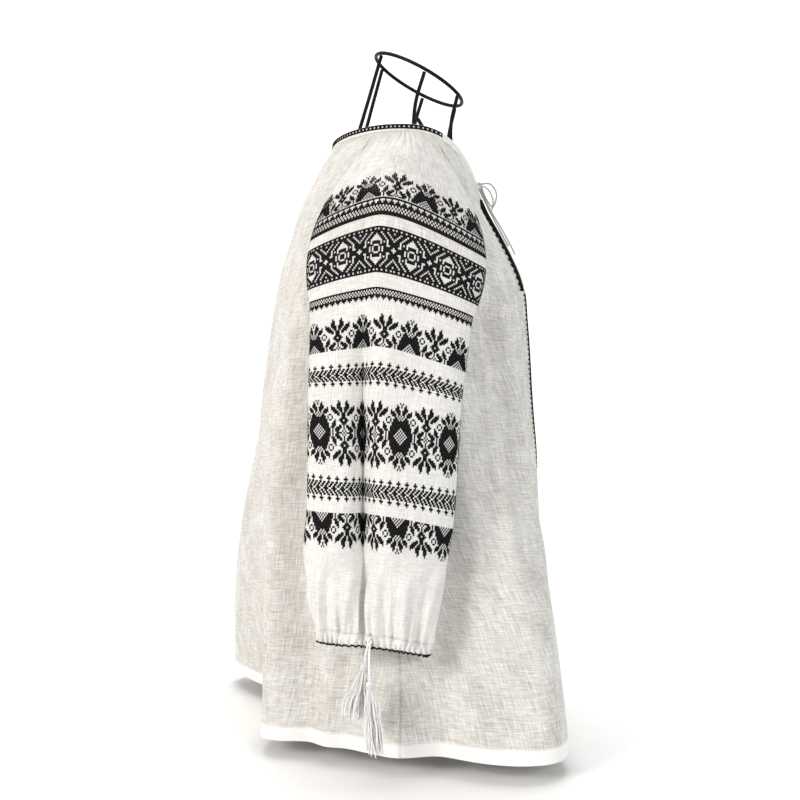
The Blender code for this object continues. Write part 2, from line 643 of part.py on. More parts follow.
def strand_mesh(root, tip, sag):
    """Vertices and faces of one three-sided strand from its root in the head to its tip."""
    vertices, faces = [], []
    for k in range(STRAND_STATIONS):
        t = k / (STRAND_STATIONS - 1)
        centre = root.lerp(tip, t) + Vector((0.0, sag, 0.0)) * math.sin(math.pi * t)
        for corner in range(3):
            angle = 2 * math.pi * corner / 3
            spoke = Vector((math.cos(angle), math.sin(angle), 0.0)) * STRAND_RADIUS * (1.0 - 0.35 * t)
            vertices.append(centre + spoke)
    for k in range(STRAND_STATIONS - 1):
        for corner in range(3):
            ahead = (corner + 1) % 3
            low, high = 3 * k, 3 * (k + 1)
            faces.append((low + corner, high + corner, high + ahead, low + ahead))
    last = 3 * (STRAND_STATIONS - 1)
    return vertices, faces + [(0, 1, 2), (last + 2, last + 1, last)]


def make_tassel(name, side, row, knot, material, collection):
    """Tassel: a short cord from the knot, a wound head and strands fused into it."""
    _, out, y, z, tip_y, tip_half, tip_z, uneven = row
    head = Vector((knot[0] + side * out, y, z))
    bpy.ops.mesh.primitive_uv_sphere_add(segments=BALL_SEGMENTS, ring_count=BALL_RINGS,
                                         radius=TASSEL_HEAD_RADIUS, location=head)
    made = bpy.context.object
    adopt(made, name, material, collection)
    stub_top = Vector((knot[0] + side * out * 0.45, knot[1] + (y - knot[1]) * 0.3, knot[2] - KNOT_RADIUS))
    stub_way = [stub_top, stub_top.lerp(head, 0.5), head]
    stub = make_wire(name + "_cord", stub_way, CORD_RADIUS, material, collection)
    vertices, faces = [], []
    for k in range(TASSEL_STRANDS):
        turn, reach = STRAND_TURN * k, math.sqrt((k + 0.5) / TASSEL_STRANDS)
        root = head + Vector((math.cos(turn), math.sin(turn), 0.0)) * STRAND_ROOT_REACH * reach
        root.z -= STRAND_ROOT_DROP
        share = math.sin(turn) * reach
        tip = Vector((head.x + STRAND_TIP_REACH * math.cos(turn) * reach, tip_y + tip_half * share,
                      tip_z + uneven * (math.sin(5.1 * k) * 0.6 + abs(share) * 0.8)))
        more_vertices, more_faces = strand_mesh(root, tip, STRAND_SAG * share)
        faces += [tuple(corner + len(vertices) for corner in face) for face in more_faces]
        vertices += more_vertices
    strands = mesh_object(name + "_strands", vertices, faces, material, collection)
    join(made, (stub, strands))


def join(made, others):
    """Boolean union of a mesh object with others, which are then removed."""
    for other in others:
        solid = as_mesh(other)
        step = made.modifiers.new("Join", "BOOLEAN")
        step.operation = "UNION"
        step.object = solid
        step.use_self = True
        graph = bpy.context.evaluated_depsgraph_get()
        mesh = bpy.data.meshes.new_from_object(made.evaluated_get(graph))
        made.modifiers.clear()
        made.data = mesh
        mesh.name = made.name
        bpy.data.objects.remove(solid, do_unlink=True)


def as_mesh(made):
    """The same object as a welded mesh, where it is a curve."""
    if made.type == "MESH":
        return made
    graph = bpy.context.evaluated_depsgraph_get()
    mesh = bpy.data.meshes.new_from_object(made.evaluated_get(graph))
    welded = bmesh.new()
    welded.from_mesh(mesh)
    bmesh.ops.remove_doubles(welded, verts=welded.verts, dist=1e-5)
    welded.to_mesh(mesh)
    welded.free()
    solid = bpy.data.objects.new(made.name + "_solid", mesh)
    solid.matrix_world = made.matrix_world
    made.users_collection[0].objects.link(solid)
    bpy.data.objects.remove(made, do_unlink=True)
    return solid


def make_cuff_cords(word, side, material, collection):
    """Knot and two tassels where the cuff's drawstring is tied."""
    section = sleeve_tube((SLEEVE_END + CUFF_END) / 2, np.linspace(0.0, 1.0, 400))
    outer = section[section[:, 0] < np.mean(section[:, 0])]
    surface = outer[np.argmin(np.abs(outer[:, 1] - CUFF_KNOT_Y))][0]
    reach = -surface + CUFF_WAVE_SIZE / 2 + WALL / 2 + KNOT_RADIUS
    knot = (side * reach, CUFF_KNOT_Y, CUFF_KNOT_Z)
    make_knot(f"cuff_knot_{word}", knot, material, collection)
    for row in TASSELS:
        make_tassel(f"cuff_tassel_{word}_{row[0]}", side, row, knot, material, collection)


def adopt(made, name, material, collection):
    """Name a primitive, give it its material and move it to the part's collection."""
    made.name = name
    made.data.name = name
    made.data.materials.append(material)
    made.data.shade_smooth()
    made.data.set_sharp_from_angle(angle=math.radians(40))
    for old in list(made.users_collection):
        old.objects.unlink(made)
    collection.objects.link(made)


def build():
    """Make every piece of the blouse and its form."""
    clear_scene()
    collection = bpy.data.collections.new("ie_blouse")
    bpy.context.scene.collection.children.link(collection)
    cotton = make_material("cotton", COTTON)
    cord = make_material("cord", CORD_WHITE)
    wire = make_material("black_wire", BLACK_WIRE)
    make_front(cotton, collection)
    make_back(cotton, collection)
    make_neck_band(cotton, collection)
    for word, side in (("right", -1.0), ("left", 1.0)):
        make_sleeve(f"sleeve_{word}", side, cotton, collection)
        make_cuff(f"cuff_{word}", side, cotton, collection)
        make_cuff_cords(word, side, cord, collection)
    make_neck_cord(cord, collection)
    make_form(wire, collection)


build()
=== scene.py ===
"""Looks of a Romanian ie blouse on a wire dress form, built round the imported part.

Metres, +Z up. The blouse's front faces -Y and the wearer's right side is -X. Angles round the body
start at the front centre and pass the wearer's right side at 90 degrees.
"""
import math

import bmesh
import bpy
import numpy as np
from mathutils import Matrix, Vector


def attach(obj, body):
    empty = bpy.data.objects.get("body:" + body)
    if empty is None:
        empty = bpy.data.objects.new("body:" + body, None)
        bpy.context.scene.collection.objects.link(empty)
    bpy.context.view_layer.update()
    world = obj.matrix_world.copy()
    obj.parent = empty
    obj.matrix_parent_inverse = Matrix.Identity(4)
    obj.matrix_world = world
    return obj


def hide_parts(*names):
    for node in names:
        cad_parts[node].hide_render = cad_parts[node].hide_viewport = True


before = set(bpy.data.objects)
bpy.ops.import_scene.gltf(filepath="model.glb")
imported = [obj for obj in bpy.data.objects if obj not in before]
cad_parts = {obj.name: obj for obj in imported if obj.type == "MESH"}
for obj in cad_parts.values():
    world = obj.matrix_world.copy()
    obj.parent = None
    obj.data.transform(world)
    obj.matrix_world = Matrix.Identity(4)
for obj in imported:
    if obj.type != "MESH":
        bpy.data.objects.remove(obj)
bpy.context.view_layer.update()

# Sizes shared with the part
NECK_HALF_WIDTH = 0.088
NECK_FRONT = 0.087
NECK_BACK = 0.077
NECK_FRONT_Z = 0.612
NECK_SIDE_Z = 0.659
NECK_BACK_Z = 0.654
NECK_DIP_POWER = 3.0
NECK_BAND_RISE = 0.0014
NECK_BAND_HEIGHT = 0.006
NECK_BAND_WALL = 0.0018
NECK_BAND_OPENING = 1.2
HEM_Z = 0.018
SEAM_GAP = -0.0004          # the two thin cloths lap here, where the part leaves a gap
LAP = 0.0026
ARMPIT_Z = 0.455
PANEL_CENTRE_DROP = 0.012
SLIT_END_Z = 0.490
SLIT_HALF_WIDTH = 0.0022
SLIT_REACH = 0.03
PANEL_GATHERS = 9
PANEL_GATHER_SIZE = 0.0016

# Body rings: height, half width, front depth, back depth, share of the folds' full size
BODY_ROWS = (
    (0.018, 0.2180, 0.1650, 0.1500, 1.00),
    (0.130, 0.1960, 0.1610, 0.1580, 0.80),
    (0.250, 0.1840, 0.1570, 0.1630, 0.55),
    (0.360, 0.1750, 0.1512, 0.1590, 0.30),
    (0.455, 0.1670, 0.1462, 0.1455, 0.10),
    (0.500, 0.1580, 0.1415, 0.1370, 0.04),
    (0.546, 0.1500, 0.1220, 0.1265, 0.02),
    (0.588, 0.1400, 0.0988, 0.1110, 0.00),
    (0.612, 0.1200, 0.0870, 0.0990, 0.00),
    (0.654, 0.0900, 0.0700, 0.0770, 0.00),
)
HALF_WIDTH, FRONT_DEPTH, BACK_DEPTH, FOLD_SHARE = 1, 2, 3, 4

# Body folds: angle, half width in degrees, height at the hem (a valley is negative)
BODY_FOLDS = (
    (51.0, 13.0, 0.084), (76.0, 6.0, -0.006), (92.0, 7.0, 0.004), (107.0, 7.0, -0.012),
    (126.0, 6.0, -0.004), (144.0, 8.0, 0.031), (172.0, 12.0, -0.014), (210.0, 9.0, 0.108),
    (240.0, 10.0, -0.012), (262.0, 8.0, 0.010), (285.0, 9.0, -0.010), (310.0, 13.0, 0.060),
    (338.0, 7.0, -0.010), (0.0, 7.0, 0.004), (25.0, 7.0, -0.012),
)

# Sleeve head guides: share of the width, neckline angle, heading, drop, leave, forward, lift
SLEEVE_GUIDES = (
    (0.00, 60.0, 50.0, 1.00, 0.070, 0.010, 0.085),
    (0.22, 70.0, 46.0, 1.15, 0.085, 0.036, 0.070),
    (0.50, 87.0, 90.0, 0.42, 0.085, 0.000, 0.100),
    (0.78, 105.0, 132.0, 0.85, 0.085, -0.018, 0.075),
    (1.00, 114.0, 132.0, 0.90, 0.070, -0.008, 0.085),
)

# Sleeve rows: distance from the neckline, back y, front y, outer x, inner x, heights at the back,
# the ridge and the front, depth of the crease
SLEEVE_ROWS = (
    (0.2400, 0.0893, -0.0720, 0.2190, 0.1696, 0.463, 0.476, 0.449, 0.003),
    (0.2975, 0.0890, -0.0640, 0.2270, 0.1800, 0.410, 0.418, 0.393, 0.012),
    (0.3500, 0.0890, -0.0600, 0.2320, 0.1870, 0.366, 0.366, 0.351, 0.020),
    (0.4155, 0.0895, -0.0550, 0.2370, 0.1920, 0.305, 0.300, 0.289, 0.024),
    (0.4600, 0.0900, -0.0510, 0.2400, 0.1960, 0.259, 0.256, 0.241, 0.025),
    (0.4950, 0.0920, -0.0450, 0.2420, 0.2000, 0.226, 0.222, 0.209, 0.024),
    (0.5400, 0.0900, -0.0370, 0.2430, 0.2060, 0.183, 0.177, 0.164, 0.016),
    (0.5750, 0.0810, -0.0290, 0.2420, 0.2110, 0.146, 0.141, 0.130, 0.007),
    (0.5880, 0.0790, -0.0270, 0.2420, 0.2110, 0.132, 0.129, 0.118, 0.004),
)
SLEEVE_ARMPIT = 0.2400
SLEEVE_END = 0.5750
CUFF_END = 0.5870
SLEEVE_ROUNDING = 0.86
SLEEVE_RIDGE_Y = 0.023
SLEEVE_ROW_BEND = 1.3
SLEEVE_FOLD_Y = 0.036
SLEEVE_LIP = 0.004
SLEEVE_LIP_SHIFT = 0.022
SLEEVE_LIP_WIDTH = 0.016
CUFF_WAVE_SIZE = 0.0017
RUFFLE_WAVES = 44             # of the thin ruffle, finer than the part's
RUFFLE_WAVE_SIZE = 0.0019
EDGING_RADIUS = 0.0009
EDGING_STITCHES = 130

# Sizes of the looks
CLOTH_WALL = 0.0006
PANEL_GRID = (156, 138)     # columns and rows of the front and of the back
SLEEVE_GRID = (204, 160)
CUFF_GRID = (528, 14)
HEM_BAND = 0.012
HEM_DOUBLING = 0.0004       # how far the turned hem stands out of the single cloth
SLEEVE_TONE = 0.35          # the lower sleeve's closer cloth beside the body's 0 and the hem's 1
CUFF_TONE = 0.4
BAND_TONE = 0.5
REPEAT = 36                 # stitches in one repeat of the roses
REPEATS = 7                 # repeats round a sleeve
UPRIGHT = 0.7               # share of the way from the cloth's columns to a right angle with the row
SLEEVE_WIDTH = 0.427        # flat width of the sleeve's cloth
STITCH_RISE = 0.00045
STITCH_SPREAD = 1.07         # size of a stitch to its cell
STITCH_WAIST = 0.09          # how far its edges are drawn in

# Embroidered rows: chart, distance of the first and last stitch row from the neckline
EMBROIDERY = (
    ("half_rose", 0.1135, 0.1462),
    ("border", 0.1472, 0.1680),
    ("wide", 0.1800, 0.2260),
    ("narrow", 0.2400, 0.2520),
    ("half_rose", 0.2650, 0.2975),
    ("ladder", 0.3120, 0.3360),
    ("full_rose", 0.3500, 0.4155),
    ("ladder", 0.4250, 0.4490),
    ("rose_down", 0.4600, 0.4950),
)

# Quarter of a rose repeat, top row first: rose's middle at the left, stem's middle at the right
ROSE_QUARTER = """
.#.............#...
#..#...........##..
#.##..........###..
..###.....#...###..
.####..#..###.####.
.###.###..####.###.
.##.####...####.##.
#.#.###.....####.##
.#.##...##....##.##
#.####.#..#......##
######.#..#.....###
#######.##..#..###.
#######....##...###
########..###....##
.#######..###..##.#
#.######.###.####.#
.#.######.#.####..#
#.#.#####.#.###..#.
.#.#.####.#..####.#
""".split()
# Half of the wide band, its middle row last: blossom at the left, square at the right
WIDE_HALF = """
############
#.##.##.##.#
############
.###.###.###
###.###.###.
##.###.###..
#.###.###...
.###.###....
####.#.#.###
####.###.###
###..#####..
.######.#.##
..#####.#.##
""".split()
BORDER_CHART = """
####
#...
##.#
####
#.#.
.#.#
#.#.
####
####
""".split()
NARROW_CHART = """
####
#.#.
.#.#
#.#.
####
###.
.#..
""".split()
# Half of the ladder band's unit, its middle row last
LADDER_HALF = """
#.....
##...#
#.....
##.##.
.##.##
#.##.#
.####.
""".split()


# Numbers and curves
def hermite(rows, column, at):
    """Value of a table's column at values of its first column, along cubic Hermite curves."""
    table = np.array(rows, dtype=float)
    keys, values = table[:, 0], table[:, column]
    slopes = np.gradient(values, keys)
    at = np.clip(np.asarray(at, dtype=float), keys[0], keys[-1])
    i = np.clip(np.searchsorted(keys, at) - 1, 0, len(keys) - 2)
    step = keys[i + 1] - keys[i]
    t = (at - keys[i]) / step
    start = (2 * t**3 - 3 * t**2 + 1) * values[i] + (t**3 - 2 * t**2 + t) * step * slopes[i]
    end = (3 * t**2 - 2 * t**3) * values[i + 1] + (t**3 - t**2) * step * slopes[i + 1]
    return start + end


def bell(x):
    """exp(-x squared / 2)."""
    return np.exp(-0.5 * np.square(x))


def ramp(x, start, end):
    """Smooth step from 0 at start to 1 at end."""
    t = np.clip((x - start) / (end - start), 0.0, 1.0)
    return t * t * (3 - 2 * t)


def unit(v):
    """Vectors divided by their lengths."""
    return v / np.maximum(np.linalg.norm(v, axis=-1, keepdims=True), 1e-12)


def smooth_path(points, steps):
    """Hermite curve through points by chord length, with steps pieces between each two."""
    given = np.array([tuple(p) for p in points], dtype=float)
    chord = np.concatenate([[0.0], np.cumsum(np.linalg.norm(np.diff(given, axis=0), axis=1))])
    rows = np.column_stack([chord, given])
    at = np.interp(np.arange((len(given) - 1) * steps + 1) / steps, np.arange(len(given)), chord)
    return np.stack([hermite(rows, axis, at) for axis in (1, 2, 3)], axis=-1)


# Meshes
def new_piece(name, vertices, quads, material, uv=None, tone=None):
    """Mesh object at the origin from arrays of points and quads, with a UV map in metres and a tone."""
    mesh = bpy.data.meshes.new(name)
    quads = np.asarray(quads, dtype=np.int32)
    mesh.vertices.add(len(vertices))
    mesh.vertices.foreach_set("co", np.asarray(vertices, dtype=np.float32).ravel())
    mesh.loops.add(quads.size)
    mesh.loops.foreach_set("vertex_index", quads.ravel())
    mesh.polygons.add(len(quads))
    mesh.polygons.foreach_set("loop_start", np.arange(0, quads.size, quads.shape[1], dtype=np.int32))
    mesh.update(calc_edges=True)
    mesh.validate()
    if uv is not None:
        layer = mesh.uv_layers.new(name="cloth")
        layer.data.foreach_set("uv", np.asarray(uv, dtype=np.float32)[quads.ravel()].ravel())
    if tone is not None:
        layer = mesh.attributes.new("tone", "FLOAT", "POINT")
        layer.data.foreach_set("value", np.asarray(tone, dtype=np.float32))
    mesh.shade_smooth()
    mesh.materials.append(material)
    made = bpy.data.objects.new(name, mesh)
    bpy.context.scene.collection.objects.link(made)
    return made


def grid_quads(rows, columns, around=False, flip=False):
    """Quads of a rows by columns grid of points, joined to itself where it goes around."""
    index = np.arange(rows * columns).reshape(rows, columns)
    if around:
        index = np.concatenate([index, index[:, :1]], axis=1)
    quads = np.stack([index[:-1, :-1], index[1:, :-1], index[1:, 1:], index[:-1, 1:]], axis=-1)
    quads = quads.reshape(-1, 4)
    return quads[:, ::-1] if flip else quads


def give_wall(made, wall=CLOTH_WALL):
    """Thickness of the cloth, half on each side."""
    solid = made.modifiers.new("Wall", "SOLIDIFY")
    solid.thickness = wall
    solid.offset = 0.0
    return made


def tube_arrays(path, radius, sides=10, closed=False):
    """Points and quads of a round tube along a path, its ring carried along without twist."""
    path = np.asarray(path, dtype=float)
    ahead = np.roll(path, -1, axis=0) - np.roll(path, 1, axis=0)
    if not closed:
        ahead[0], ahead[-1] = path[1] - path[0], path[-1] - path[-2]
    tangent = unit(ahead)
    normal = np.zeros_like(tangent)
    seed = np.array([0.0, 0.0, 1.0]) if abs(tangent[0][2]) < 0.8 else np.array([1.0, 0.0, 0.0])
    for k, direction in enumerate(tangent):
        seed = seed - direction * np.dot(seed, direction)
        seed = seed / np.linalg.norm(seed)
        normal[k] = seed
    other = np.cross(tangent, normal)
    turn = np.linspace(0.0, 2 * np.pi, sides, endpoint=False)
    radius = np.broadcast_to(np.asarray(radius, dtype=float), (len(path),))[:, None, None]
    ring = np.cos(turn)[None, :, None] * normal[:, None] + np.sin(turn)[None, :, None] * other[:, None]
    points = path[:, None] + ring * radius
    count = len(path)
    quads = grid_quads(count, sides, around=True)
    points = points.reshape(-1, 3)
    if closed:
        last = np.arange((count - 1) * sides, count * sides)
        first = np.arange(sides)
        shift = int(np.argmin(np.linalg.norm(points[first] - points[last[0]], axis=1)))
        first = np.roll(first, -shift)
        seam = np.stack([last, first, np.roll(first, -1), np.roll(last, -1)], axis=-1)
        quads = np.concatenate([quads, seam])
    else:
        points = np.concatenate([points, path[[0, -1]]])
        low, high = count * sides, count * sides + 1
        ends = np.arange(sides)
        start = np.stack([ends, np.roll(ends, -1), np.full(sides, low), np.full(sides, low)], axis=-1)
        last = ends + (count - 1) * sides
        finish = np.stack([np.roll(last, -1), last, np.full(sides, high), np.full(sides, high)], axis=-1)
        return points, quads, np.concatenate([start, finish])[:, :3]
    return points, quads, np.zeros((0, 3), dtype=int)


def make_tube(name, path, radius, material, sides=10, closed=False):
    """One round tube as a piece."""
    points, quads, caps = tube_arrays(path, radius, sides, closed)
    return piece_of_faces(name, points, list(map(tuple, quads)) + list(map(tuple, caps)), material)


def piece_of_faces(name, points, faces, material):
    """Mesh object at the origin from points and faces of any size."""
    mesh = bpy.data.meshes.new(name)
    mesh.from_pydata(np.asarray(points, dtype=float).tolist(), [], [tuple(int(i) for i in f) for f in faces])
    mesh.shade_smooth()
    mesh.materials.append(material)
    made = bpy.data.objects.new(name, mesh)
    bpy.context.scene.collection.objects.link(made)
    return made


def merge_tubes(name, tubes, material):
    """Several tubes as one piece."""
    points, faces, start = [], [], 0
    for tube_points, quads, caps in tubes:
        faces += [tuple(f) for f in (quads + start)] + [tuple(f) for f in (caps + start)]
        points.append(tube_points)
        start += len(tube_points)
    return piece_of_faces(name, np.concatenate(points), faces, material)


def ball_arrays(centre, radii, columns=16, rows=10):
    """Points and faces of a closed ball stretched along x, y and z."""
    lat = np.linspace(0.0, np.pi, rows + 1)[1:-1]
    lon = np.linspace(0.0, 2 * np.pi, columns, endpoint=False)
    ring = np.stack([np.sin(lat)[:, None] * np.cos(lon), np.sin(lat)[:, None] * np.sin(lon),
                     np.repeat(np.cos(lat)[:, None], columns, axis=1)], axis=-1).reshape(-1, 3)
    points = np.concatenate([ring, [[0, 0, 1], [0, 0, -1]]]) * np.asarray(radii) + np.asarray(centre)
    quads = grid_quads(rows - 1, columns, around=True)
    ends = np.arange(columns)
    top, bottom = len(ring), len(ring) + 1
    last = ends + (rows - 2) * columns
    caps = np.concatenate([np.stack([np.full(columns, top), ends, np.roll(ends, -1)], axis=-1),
                           np.stack([np.full(columns, bottom), np.roll(last, -1), last], axis=-1)])
    return points, quads, caps


# Surfaces of the blouse
def neck_point(angle):
    """Neckline oval: x = -w sin a, y = -d cos a, and a height that dips with cos a cubed in front."""
    c = np.cos(angle)
    depth = np.where(c > 0, NECK_FRONT, NECK_BACK)
    dip = (NECK_FRONT_Z - NECK_SIDE_Z) * np.clip(c, 0, 1)**NECK_DIP_POWER
    rear = (NECK_BACK_Z - NECK_SIDE_Z) * np.clip(-c, 0, 1)**2
    return np.stack([-NECK_HALF_WIDTH * np.sin(angle), -depth * c, NECK_SIDE_Z + dip + rear], axis=-1)


def crease_shape(y):
    """Depth share of the sleeve's crease: a sharp valley, steeper on its front side."""
    away = y - SLEEVE_FOLD_Y
    width = np.where(away > 0, 0.0098, 0.0066)
    return np.exp(-(np.abs(away) / width)**1.25)


def sleeve_outline(distance, samples=720):
    """Closed sections of the right sleeve's tube: a boxy ellipse dented by the crease.

    Rows are distances from the neckline, columns run from the armpit seam by the front edge, the
    outer side and the back edge.
    """
    distance = np.atleast_1d(distance)[:, None]
    back_y, front_y, outer_x, inner_x, back_z, ridge_z, front_z, fold = (
        hermite(SLEEVE_ROWS, column, distance) for column in range(1, 9))
    mid_y, half_y = (back_y + front_y) / 2, (back_y - front_y) / 2
    mid_x, half_x = -(outer_x + inner_x) / 2, (outer_x - inner_x) / 2
    seam = np.arcsin(np.minimum(0.6, (np.maximum(mid_y, 0.0) / half_y)**(1 / SLEEVE_ROUNDING)))
    phi = np.linspace(0.0, 2 * np.pi, samples + 1)[None, :] + seam
    c, s = np.cos(phi), np.sin(phi)
    x = mid_x + half_x * np.sign(c) * np.abs(c)**SLEEVE_ROUNDING
    y = mid_y - half_y * np.sign(s) * np.abs(s)**SLEEVE_ROUNDING
    outside = np.clip(-c * 1.6, 0, 1)
    x = x + outside * fold * crease_shape(y)
    x = x - outside * SLEEVE_LIP * bell((y - SLEEVE_FOLD_Y + SLEEVE_LIP_SHIFT) / SLEEVE_LIP_WIDTH)
    towards_front = np.clip((SLEEVE_RIDGE_Y - y) / (SLEEVE_RIDGE_Y - front_y), 0, 1)
    towards_back = np.clip((y - SLEEVE_RIDGE_Y) / (back_y - SLEEVE_RIDGE_Y), 0, 1)
    z = ridge_z + (front_z - ridge_z) * towards_front**SLEEVE_ROW_BEND
    z = z + (back_z - ridge_z) * towards_back**SLEEVE_ROW_BEND
    return np.stack([x, y, z], axis=-1)


def sleeve_tube(distance, shares):
    """Points of the tube at shares of each section's own length."""
    rows = []
    for outline in sleeve_outline(distance):
        length = np.concatenate([[0.0], np.cumsum(np.linalg.norm(np.diff(outline, axis=0), axis=1))])
        rows.append([np.interp(shares * length[-1], length, outline[:, axis]) for axis in range(3)])
    return np.moveaxis(np.array(rows), 1, 2)


def sleeve_head(t, shares):
    """Points between the neckline (t 0) and the armpit (t 1), a Bezier curve down each column."""
    angle, heading, drop, leave, forward, lift = (hermite(SLEEVE_GUIDES, c, shares) for c in range(1, 7))
    start = neck_point(np.radians(angle))
    heading = np.radians(heading)
    out = unit(np.stack([-np.sin(heading), -np.cos(heading), -drop], axis=-1))
    end = sleeve_tube(SLEEVE_ARMPIT, shares)[0]
    arrive = end + np.stack([np.zeros_like(lift), -forward, lift], axis=-1)
    t = np.atleast_1d(t)[:, None, None]
    s = 1.0 - t
    leaving = start + out * leave[:, None]
    return s**3 * start + 3 * s**2 * t * leaving + 3 * s * t**2 * arrive + t**3 * end


def seam_point(t, share):
    """Edge of a body panel under the sleeve's seam, share 0 in front and 1 behind."""
    x, y, z = sleeve_head(t, np.array([share]))[0, 0]
    reach = math.hypot(x, y)
    return x * (1 - LAP / reach), y * (1 - LAP / reach) * (1 - t**6), z


def body_folds(angle, z):
    """Sum of bells round the body, each its own width, growing towards the hem."""
    degrees = np.degrees(angle)
    total = np.zeros_like(degrees)
    for centre, width, size in BODY_FOLDS:
        away = (degrees - centre + 180.0) % 360.0 - 180.0
        total += size * bell(away / width)
    return total * hermite(BODY_ROWS, FOLD_SHARE, z)


def body_row(level, share, back):
    """One row of a panel: level 0 is the neckline, 1 the armpits, 2 the hem; share -1 to 1 across."""
    t = min(level, 1.0)
    depth_column = BACK_DEPTH if back else FRONT_DEPTH
    seam_x, seam_y, seam_z = seam_point(t, 1.0 if back else 0.0)
    neck_z = NECK_BACK_Z if back else NECK_FRONT_Z
    centre_z = neck_z + (ARMPIT_Z - PANEL_CENTRE_DROP - neck_z) * t
    centre_depth = hermite(BODY_ROWS, depth_column, centre_z)
    edge_angle = math.acos(min(1.0, abs(seam_y) / centre_depth))
    half_width = -seam_x / math.sin(edge_angle)
    edge_angle -= (SEAM_GAP if level > 0.999 else 0.0) / half_width
    turn = share * edge_angle
    neckline = neck_point((math.pi - turn) if back else turn)[..., 2] - neck_z
    rise = np.square(share) * t + neckline / neckline[0] * (1.0 - t)
    z = centre_z + (seam_z - centre_z) * rise
    depth = np.full_like(turn, centre_depth)
    if level > 1.0:
        z = z + (HEM_Z - z) * (level - 1.0)
        half_width = hermite(BODY_ROWS, HALF_WIDTH, z)
        depth = hermite(BODY_ROWS, depth_column, z)
    x = -half_width * np.sin(turn)
    y = depth * np.cos(turn) * (1.0 if back else -1.0)
    angle = (math.pi - turn) if back else turn
    loose = 1.0 - np.abs(share)**8 if level < 1.0 else np.ones_like(turn)
    fade = max(math.sin(math.pi * min(1.0, 0.12 + level * 0.9)), 0.0)
    gathers = PANEL_GATHER_SIZE * np.cos(np.pi * PANEL_GATHERS * share) * fade
    stand_out = (body_folds(angle, z) + gathers + fine_folds(angle, z, level)) * loose
    reach = np.hypot(x, y)
    return np.stack([x * (1 + stand_out / reach), y * (1 + stand_out / reach), z], axis=-1)


# Long soft drapes of the body: angle and height of the upper end, of the lower end, half width, size
DRAPES = (
    (45.0, 0.500, 50.0, 0.180, 5.0, -0.0110),
    (35.0, 0.515, 39.0, 0.200, 5.0, 0.0065),
    (27.0, 0.480, 22.0, 0.300, 4.5, -0.0075),
    (30.0, 0.330, 27.0, 0.010, 5.5, -0.0090),
    (66.0, 0.300, 62.0, 0.010, 6.0, -0.0060),
    (84.0, 0.380, 86.0, 0.010, 6.0, 0.0035),
    (122.0, 0.450, 126.0, 0.010, 5.0, -0.0060),
    (158.0, 0.520, 152.0, 0.010, 6.0, -0.0080),
    (185.0, 0.560, 189.0, 0.100, 6.0, 0.0050),
    (204.0, 0.500, 198.0, 0.010, 5.0, -0.0055),
    (236.0, 0.430, 230.0, 0.010, 6.0, 0.0040),
    (272.0, 0.360, 275.0, 0.010, 6.0, -0.0040),
    (298.0, 0.480, 293.0, 0.100, 5.0, -0.0055),
    (318.0, 0.520, 313.0, 0.150, 5.0, 0.0055),
    (331.0, 0.470, 336.0, 0.010, 5.0, -0.0055),
    (350.0, 0.350, 347.0, 0.010, 5.0, 0.0035),
    (48.0, 0.470, 50.0, 0.250, 2.4, -0.0065),
    (41.0, 0.465, 42.0, 0.300, 2.2, 0.0045),
    (56.0, 0.490, 60.0, 0.040, 3.0, -0.0070),
    (22.0, 0.300, 24.0, 0.020, 2.8, -0.0055),
    (37.0, 0.250, 40.0, 0.010, 2.6, 0.0045),
    (73.0, 0.240, 70.0, 0.010, 3.0, 0.0040),
    (101.0, 0.220, 99.0, 0.010, 3.0, -0.0040),
    (137.0, 0.430, 139.0, 0.100, 2.6, 0.0040),
    (226.0, 0.450, 223.0, 0.060, 2.6, -0.0050),
    (304.0, 0.470, 300.0, 0.080, 2.6, -0.0060),
    (323.0, 0.300, 320.0, 0.020, 2.8, -0.0055),
)

# Short folds pulled across the front by the sleeves: angle and height of each end, half width, size
PULLS = (
    (63.0, 0.497, 31.0, 0.462, 0.0050, 0.0050),
    (60.0, 0.478, 36.0, 0.448, 0.0060, -0.0060),
    (297.0, 0.500, 327.0, 0.466, 0.0050, 0.0050),
    (300.0, 0.481, 322.0, 0.452, 0.0060, -0.0060),
)
METRES_PER_DEGREE = 0.0026


def drapes(degrees, z):
    """Sum of bells across lines that run down the body and across short slanting ones, each fading
    at its ends."""
    total = np.zeros_like(z)
    for high, top, low, bottom, width, size in DRAPES:
        line = high + (low - high) * (top - z) / (top - bottom)
        away = (degrees - line + 180.0) % 360.0 - 180.0
        fade = ramp(z, bottom - 0.03, bottom + 0.05) * (1 - ramp(z, top - 0.05, top))
        total += size * bell(away / width) * fade
    for start, high, end, low, width, size in PULLS:
        run, fall = (end - start) * METRES_PER_DEGREE, low - high
        length = math.hypot(run, fall)
        east, up = ((degrees - start + 180.0) % 360.0 - 180.0) * METRES_PER_DEGREE, z - high
        along = (east * run + up * fall) / length**2
        off = (east * fall - up * run) / length
        total += size * bell(off / width) * ramp(along, -0.1, 0.25) * (1 - ramp(along, 0.7, 1.1))
    return total


def fine_folds(angle, z, level):
    """Small creases of the body: close gathers below the neck, long soft ones above the hem.

    Each is a sine of a whole multiple of the angle, so that front and back meet at the side seams.
    """
    wander = 3.0 * np.sin(6 * angle) + 2.0 * np.sin(z * 21.0 + 3 * angle)
    neck = 0.0011 * np.sin(53 * angle + 0.92 * wander)
    neck = neck * (1.0 - ramp(level, 0.05, 0.55)) * ramp(level, 0.0, 0.04)
    mid = 0.0018 * np.sin(21 * angle + 0.37 * wander + 1.3)
    mid = mid * ramp(level, 0.3, 1.0) * (1.0 - ramp(level, 1.5, 2.0))
    low = 0.0024 * np.sin(12 * angle + 0.42 * wander + 0.4) * ramp(level, 1.0, 1.7)
    return neck + mid + low + drapes(np.degrees(angle), z)


